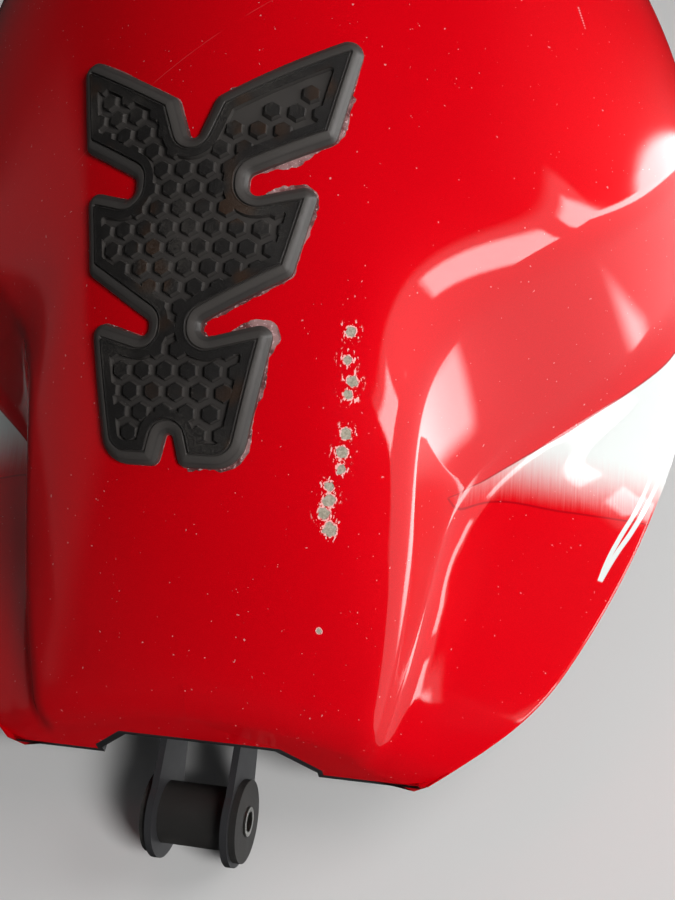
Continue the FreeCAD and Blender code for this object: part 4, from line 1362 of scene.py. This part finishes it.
@dataclass(frozen=True)
class RedPaint:
    """Red pearl paint under a clear coat, with a faded white wedge, pin lines, stone chips and fine marks."""

    name: str = "red_pearl"
    red: Color = (0.74, 0.0, 0.006, 1)
    deep: Color = (0.58, 0.0, 0.004, 1)
    line: Color = (0.25, 0.0, 0.004, 1)
    white: Color = (0.70, 0.74, 0.72, 1)
    mark: Color = (0.9, 0.5, 0.5, 1)
    primer: Color = (0.27, 0.24, 0.185, 1)
    pale_primer: Color = (0.40, 0.36, 0.29, 1)
    flake: Color = (0.86, 0.42, 0.40, 1)
    least_broken_chip: float = 1.5
    upper_edge: Pairs = (
        (118, 79), (123, 75), (136, 68), (149, 65), (164, 65), (188, 68), (205, 70), (221, 71), (260, 76),
        (310, 84), (360, 84), (400, 75), (440, 57), (478, 45),
    )
    lower_edge: Pairs = ((90, 119), (97, 123), (118, 138), (145, 144), (183, 154), (200, 159), (215, 164))
    pin_outer: Pairs = ((119, 164), (134, 171), (149, 179), (167, 187), (198, 198), (230, 206))
    pin_inner: Pairs = (
        (119, 164), (130, 167.5), (143, 173), (160, 181), (181, 188.5), (205, 195), (230, 201),
    )
    arcs: tuple[tuple[tuple[float, float, float], float], ...] = (
        ((0.75, 0.30, 0.2), 0.600), ((0.9, -0.9, 0.8), 1.082),
    )
    scratch: tuple[tuple[float, float, float], ...] = ((296, -143, 211), (289.5, -146.5, 205))

    def graphic(self, n: Nodes) -> tuple[NodeSocket, NodeSocket]:
        """White wedge with its fade, and the pin lines by the lower edge, the same on both sides.

        Args:
            n: Node tree of the paint.

        Returns:
            Share of white, and the fine dark line round the wedge.
        """
        x, y, z = n.axes(n.coords)
        wide = n.math("ABSOLUTE", y)
        under = n.minus(n.curve(x, self.upper_edge), z)
        ahead = n.minus(x, n.curve(wide, self.lower_edge))
        below = n.ramp(under, 0.0, 0.0005)
        dots = n.noise(1, 1, 0.5, n.stretched(Vector((60, 1400, 60))))
        fade = n.ramp(n.math("MULTIPLY_ADD", dots, 0.004, ahead), 0.002, 0.027)
        share = n.times(below, n.ramp(ahead, 0.0, 0.0004), fade)
        line_up = n.times(n.fall(n.math("ABSOLUTE", under), 0.0002, 0.0006), n.ramp(ahead, -0.001, 0.001))
        line_low = n.times(n.fall(n.math("ABSOLUTE", ahead), 0.0002, 0.0006), below)
        length = n.times(n.ramp(x, 0.1195, 0.1205), n.fall(x, 0.225, 0.232))
        for edge, half in ((self.pin_outer, 0.0009), (self.pin_inner, 0.0008)):
            pin = n.fall(n.gap(wide, n.curve(x, edge)), half, half + 0.0003)
            share = n.most(share, n.times(pin, length))
        return share, n.most(line_up, line_low)

    def chips(self, n: Nodes) -> tuple[NodeSocket, NodeSocket]:
        """Stone chips in a ragged row.

        Args:
            n: Node tree of the paint.

        Returns:
            Bare primer, and the pale broken paint round it.
        """
        ragged = n.minus(n.noise(420, 4, 0.65), 0.5)
        shares, gaps = [], []
        for x, y, z, radius in CHIPS:
            gap = n.distance(Vector((x, y, z)) * MM)
            shares.append(n.math("DIVIDE", gap, radius * MM))
            if radius > self.least_broken_chip:
                gaps.append(gap)
        size = n.math("MULTIPLY_ADD", ragged, 1.5, n.least(*shares))
        ring = n.times(n.fall(size, 1.28, 1.36), n.ramp(n.noise(700, 2, 0.5), 0.40, 0.52))
        slivers = n.noise(1, 2, 0.6, n.stretched(Vector((330, 900, 500)), Vector((0.3, 0.5, 0.4))))
        torn = n.times(n.ramp(slivers, 0.60, 0.64), n.fall(n.least(*gaps), 0.0042, 0.0058))
        return n.fall(size, 0.97, 1.05), n.most(ring, torn)

    def marks(self, n: Nodes) -> NodeSocket:
        """Fine scratch, polishing arcs and specks.

        Args:
            n: Node tree of the paint.

        Returns:
            Their strength.
        """
        patchy = n.ramp(n.noise(45, 2, 0.5), 0.45, 0.62)
        found = n.ramp(n.noise(620, 1, 0.4), 0.765, 0.80)
        for centre, radius in self.arcs:
            hair = n.fall(n.gap(n.distance(Vector(centre)), radius), 0.00008, 0.0002, 0.14)
            found = n.most(found, n.times(hair, patchy))
        start, end = (Vector(place) * MM for place in self.scratch)
        for k in range(9):
            found = n.most(found, n.fall(n.distance(start.lerp(end, k / 8)), 0.0003, 0.0007, 0.9))
        return found

    def material(self) -> Material:
        """Builds the material.

        Returns:
            The material.
        """
        n = Nodes(self.name)
        share, lines = self.graphic(n)
        bare, torn = self.chips(n)
        red = n.mix(n.ramp(n.noise(5200, 1, 0.4), 0.35, 0.75), self.deep, self.red)
        color = n.mix(share, n.mix(n.times(lines, 0.6), red, self.line), self.white)
        color = n.mix(torn, n.mix(n.times(self.marks(n), 0.45), color, self.mark), self.flake)
        primer = n.mix(n.ramp(n.noise(900, 3, 0.6), 0.35, 0.65), self.primer, self.pale_primer)
        matt = n.most(bare, torn)
        metal = n.times(n.minus(1.0, n.most(matt, share)), 0.12)
        n.set(Base_Color=n.mix(bare, color, primer), Metallic=metal, Specular_IOR_Level=0.05)
        n.set(Roughness=n.math("MULTIPLY_ADD", matt, 0.4, n.ramp(n.noise(9, 3, 0.5), 0.3, 0.7, 0.33, 0.41)))
        depth = n.plus(n.times(bare, -1.0), n.times(torn, 0.25))
        relief = n.bump(depth, 0.00016)
        n.set(Normal=relief, Coat_Normal=n.bump(n.noise(520, 2, 0.5), 0.0000035, 1.0, relief))
        n.set(Coat_Weight=n.minus(1.0, bare), Coat_Roughness=0.03)
        return n.material


@dataclass
class SoftWindow:
    """What reflections see: a tall soft window on the right, with brighter bands in it, in a dim room.

    Turns are in degrees from forward to the right, and rises in degrees above the horizon.
    """

    start: tuple[float, float] = (44, 48)
    end: tuple[float, float] = (116.5, 118.5)
    slant_start: float = 53
    level_start: tuple[float, float] = (78, 84)
    level_rise: float = 34
    band_start: float = 57.5
    band_rise: float = 27
    post: float = 97
    streak_slope: float = 0.35
    streak_rise: float = -52.5
    band_light: float = 9
    streak_light: float = 7
    left_middle: float = 12

    def opening(self, g: Graph, turn: NodeSocket, rise: NodeSocket) -> NodeSocket:
        """Where the window is. Its upper edge slants up and then runs level.

        Args:
            g: Node tree of the world.
            turn: Turn of the direction looked in.
            rise: Its rise.

        Returns:
            The share of the window.
        """
        slant = g.minus(turn, self.slant_start)
        level = g.times(g.ramp(turn, *self.level_start), g.minus(self.level_rise, slant))
        sides = g.times(g.ramp(turn, *self.start), g.fall(turn, *self.end))
        return g.times(sides, g.fall(g.minus(rise, g.plus(slant, level)), -1.5, 1.5))

    def light(self, g: Graph, turn: NodeSocket, rise: NodeSocket) -> NodeSocket:
        """Light inside the window: a slanted band that a post parts, a low streak and a plain glow.

        Args:
            g: Node tree of the world.
            turn: Turn of the direction looked in.
            rise: Its rise.

        Returns:
            The strength.
        """
        band = g.least(g.minus(turn, self.band_start), self.band_rise)
        bright = g.times(g.fall(g.gap(rise, band), 3.0, 5.0), g.ramp(g.gap(turn, self.post), 3.5, 6.0))
        streak = g.gap(rise, g.math("MULTIPLY_ADD", turn, self.streak_slope, self.streak_rise))
        low = g.times(g.fall(streak, 2.5, 5.0), g.fall(turn, 88, 96))
        bands = g.plus(g.times(low, self.streak_light), g.times(bright, self.band_light))
        return g.plus(g.ramp(rise, -32, -18, 0.5, 1.1), bands)

    def seen(self, g: Graph, direction: NodeSocket) -> NodeSocket:
        """Strength of the room seen in a direction, with a faint patch of light on the left.

        Args:
            g: Node tree of the world.
            direction: Where the reflection looks.

        Returns:
            The strength.
        """
        x, y, z = g.axes(direction)
        turn = g.math("DEGREES", g.math("ARCTAN2", g.times(y, -1.0), x))
        rise = g.math("DEGREES", g.math("ARCSINE", z))
        window = g.times(self.opening(g, turn, rise), self.light(g, turn, rise))
        left = g.times(g.ramp(turn, -125, -110), g.fall(turn, -80, -68))
        left = g.times(left, g.fall(g.gap(rise, self.left_middle), 10, 15, 0.10))
        room = g.ramp(g.gap(rise, 6.0), 4, 24, 0.035, 0.012)
        return g.plus(window, left, room)


@dataclass
class Studio:
    """Camera at the photograph's viewing angle, pale floor and soft light."""

    focal_px: float = 1000
    height_px: float = 900
    sensor: float = 36
    camera_place: tuple[float, float, float] = (-158.4, -143.7, 410.5)
    camera_turn_deg: tuple[float, float, float] = (43.41, 7.36, -79.52)
    pale: Color = (0.93, 0.94, 0.95, 1)
    daylight: Color = (0.95, 0.97, 1.0, 1)
    plain_light: float = 0.055
    floor_size: float = 6
    fade: tuple[float, float] = (0.6, 1.9)
    middle: tuple[float, float, float] = (0.25, 0, 0.12)

    def camera(self) -> None:
        """Adds the camera."""
        data = bpy.data.cameras.new("camera")
        data.sensor_fit = "VERTICAL"
        data.sensor_height = self.sensor
        data.lens = self.focal_px / self.height_px * self.sensor
        data.clip_start, data.clip_end = 0.01, 60
        obj = placed("camera", data)
        turn = Euler([math.radians(angle) for angle in self.camera_turn_deg]).to_matrix().to_4x4()
        obj.matrix_world = Matrix.Translation(Vector(self.camera_place) * MM) @ turn
        bpy.context.scene.camera = obj

    def floor(self) -> None:
        """Adds the pale floor. The camera sees it fade into the pale background."""
        bm = bmesh.new()
        bmesh.ops.create_grid(bm, x_segments=1, y_segments=1, size=self.floor_size)
        bmesh.ops.translate(bm, verts=bm.verts, vec=(0, 0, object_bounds()[0][2] - MM))
        n = Nodes("pale_floor")
        n.set(Base_Color=n.mix(n.noise(3, 4), grey(0.66, 0.01), grey(0.70, 0.01)), Roughness=0.8)
        glow = n.node("Emission", {"Color": self.pale})
        far = n.ramp(n.distance(Vector((self.middle[0], 0, 0))), *self.fade)
        share = n.times(far, n.node("LightPath").outputs["Is Camera Ray"])
        n.feed(n.output, n.either(share, n.shader.outputs[0], glow.outputs[0]))
        mesh = mesh_of("floor", bm)
        mesh.materials.append(n.material)
        obj = placed("floor", mesh)
        obj.visible_glossy = False
        obj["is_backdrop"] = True

    def light(self) -> None:
        """Adds soft area lamps, each by its place, size and watts. Reflections don't see them."""
        lamps = {
            "window": ((0.85, -1.7, 1.1), (1.3, 1.1), 21),
            "high_key": ((-0.85, -1.40, 1.35), (0.7, 0.7), 40),
            "left_fill": ((0.3, 2.2, 0.9), (1.6, 1.2), 1.2),
        }
        for name, (place, size, power) in lamps.items():
            data = bpy.data.lights.new(name, "AREA")
            data.shape = "RECTANGLE"
            data.size, data.size_y = size
            data.energy = power
            obj = placed(name, data)
            turn = (Vector(self.middle) - Vector(place)).to_track_quat("-Z", "Y").to_matrix().to_4x4()
            obj.matrix_world = Matrix.Translation(place) @ turn
            obj.visible_glossy = False

    def sky(self) -> None:
        """Adds the world: pale to the camera, the soft window to reflections, and a plain low light."""
        world = bpy.data.worlds.new("pale")
        bpy.context.scene.world = world
        world.use_nodes = True
        g = Graph(world.node_tree)
        g.tree.nodes.clear()
        ray = g.node("LightPath").outputs
        seen = SoftWindow().seen(g, g.node("TexCoord").outputs["Generated"])
        lights = ((self.daylight, self.plain_light), (self.pale, 1.0), ((1, 1, 1, 1), seen))
        plain, pale, room = (g.node("Background", dict(enumerate(light))).outputs[0] for light in lights)
        shown = g.either(ray["Is Camera Ray"], g.either(ray["Is Glossy Ray"], plain, room), pale)
        g.node("OutputWorld", {"Surface": shown})

    def build(self) -> None:
        """Sets the whole stage."""
        self.camera()
        self.light()
        self.sky()
        self.floor()
        bpy.context.scene.view_settings.view_transform = "Standard"


FINISHES = {
    Slot.RED: RedPaint(),
    Slot.PAD: PadFinish(),
    Slot.BUSH: RubberFinish("bush_rubber", 0.02, 0.7, 500, 0.15),
    Slot.PLASTIC: RubberFinish("moulded_plastic", 0.03, 0.45, 1500, 0.08),
    Slot.BLACK: MetalFinish("black_enamel", (0.03, 0.03, 0.032), 0.0, 0.35),
    Slot.ANODISED: MetalFinish("black_anodised", (0.035, 0.035, 0.04), 0.6, 0.38),
    Slot.BARE: MetalFinish("bare_steel", (0.45, 0.44, 0.42), 1.0, 0.4),
    Slot.BRIGHT: MetalFinish("bright_steel", (0.72, 0.72, 0.72), 1.0, 0.16),
    Slot.ZINC: MetalFinish("zinc_plate", (0.56, 0.56, 0.53), 1.0, 0.36, stain=0.2),
}


def main() -> None:
    """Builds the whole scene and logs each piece."""
    logging.basicConfig(level=logging.INFO, format="%(message)s")
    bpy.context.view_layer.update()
    shop = Shop({slot: finish.material() for slot, finish in FINISHES.items()})
    shop.dress_nodes()
    skin = bmesh.new()
    skin.from_mesh(Shell().build(shop).data)
    pad = TankPad(Crown(BVHTree.FromBMesh(skin)))
    skin.free()
    pad.build(shop)
    PadFilm(pad).build(shop, FilmFinish().material())
    Fasteners().build(shop)
    FillerTrim().build(shop)
    Studio().build()


if __name__ == "__main__":
    main()
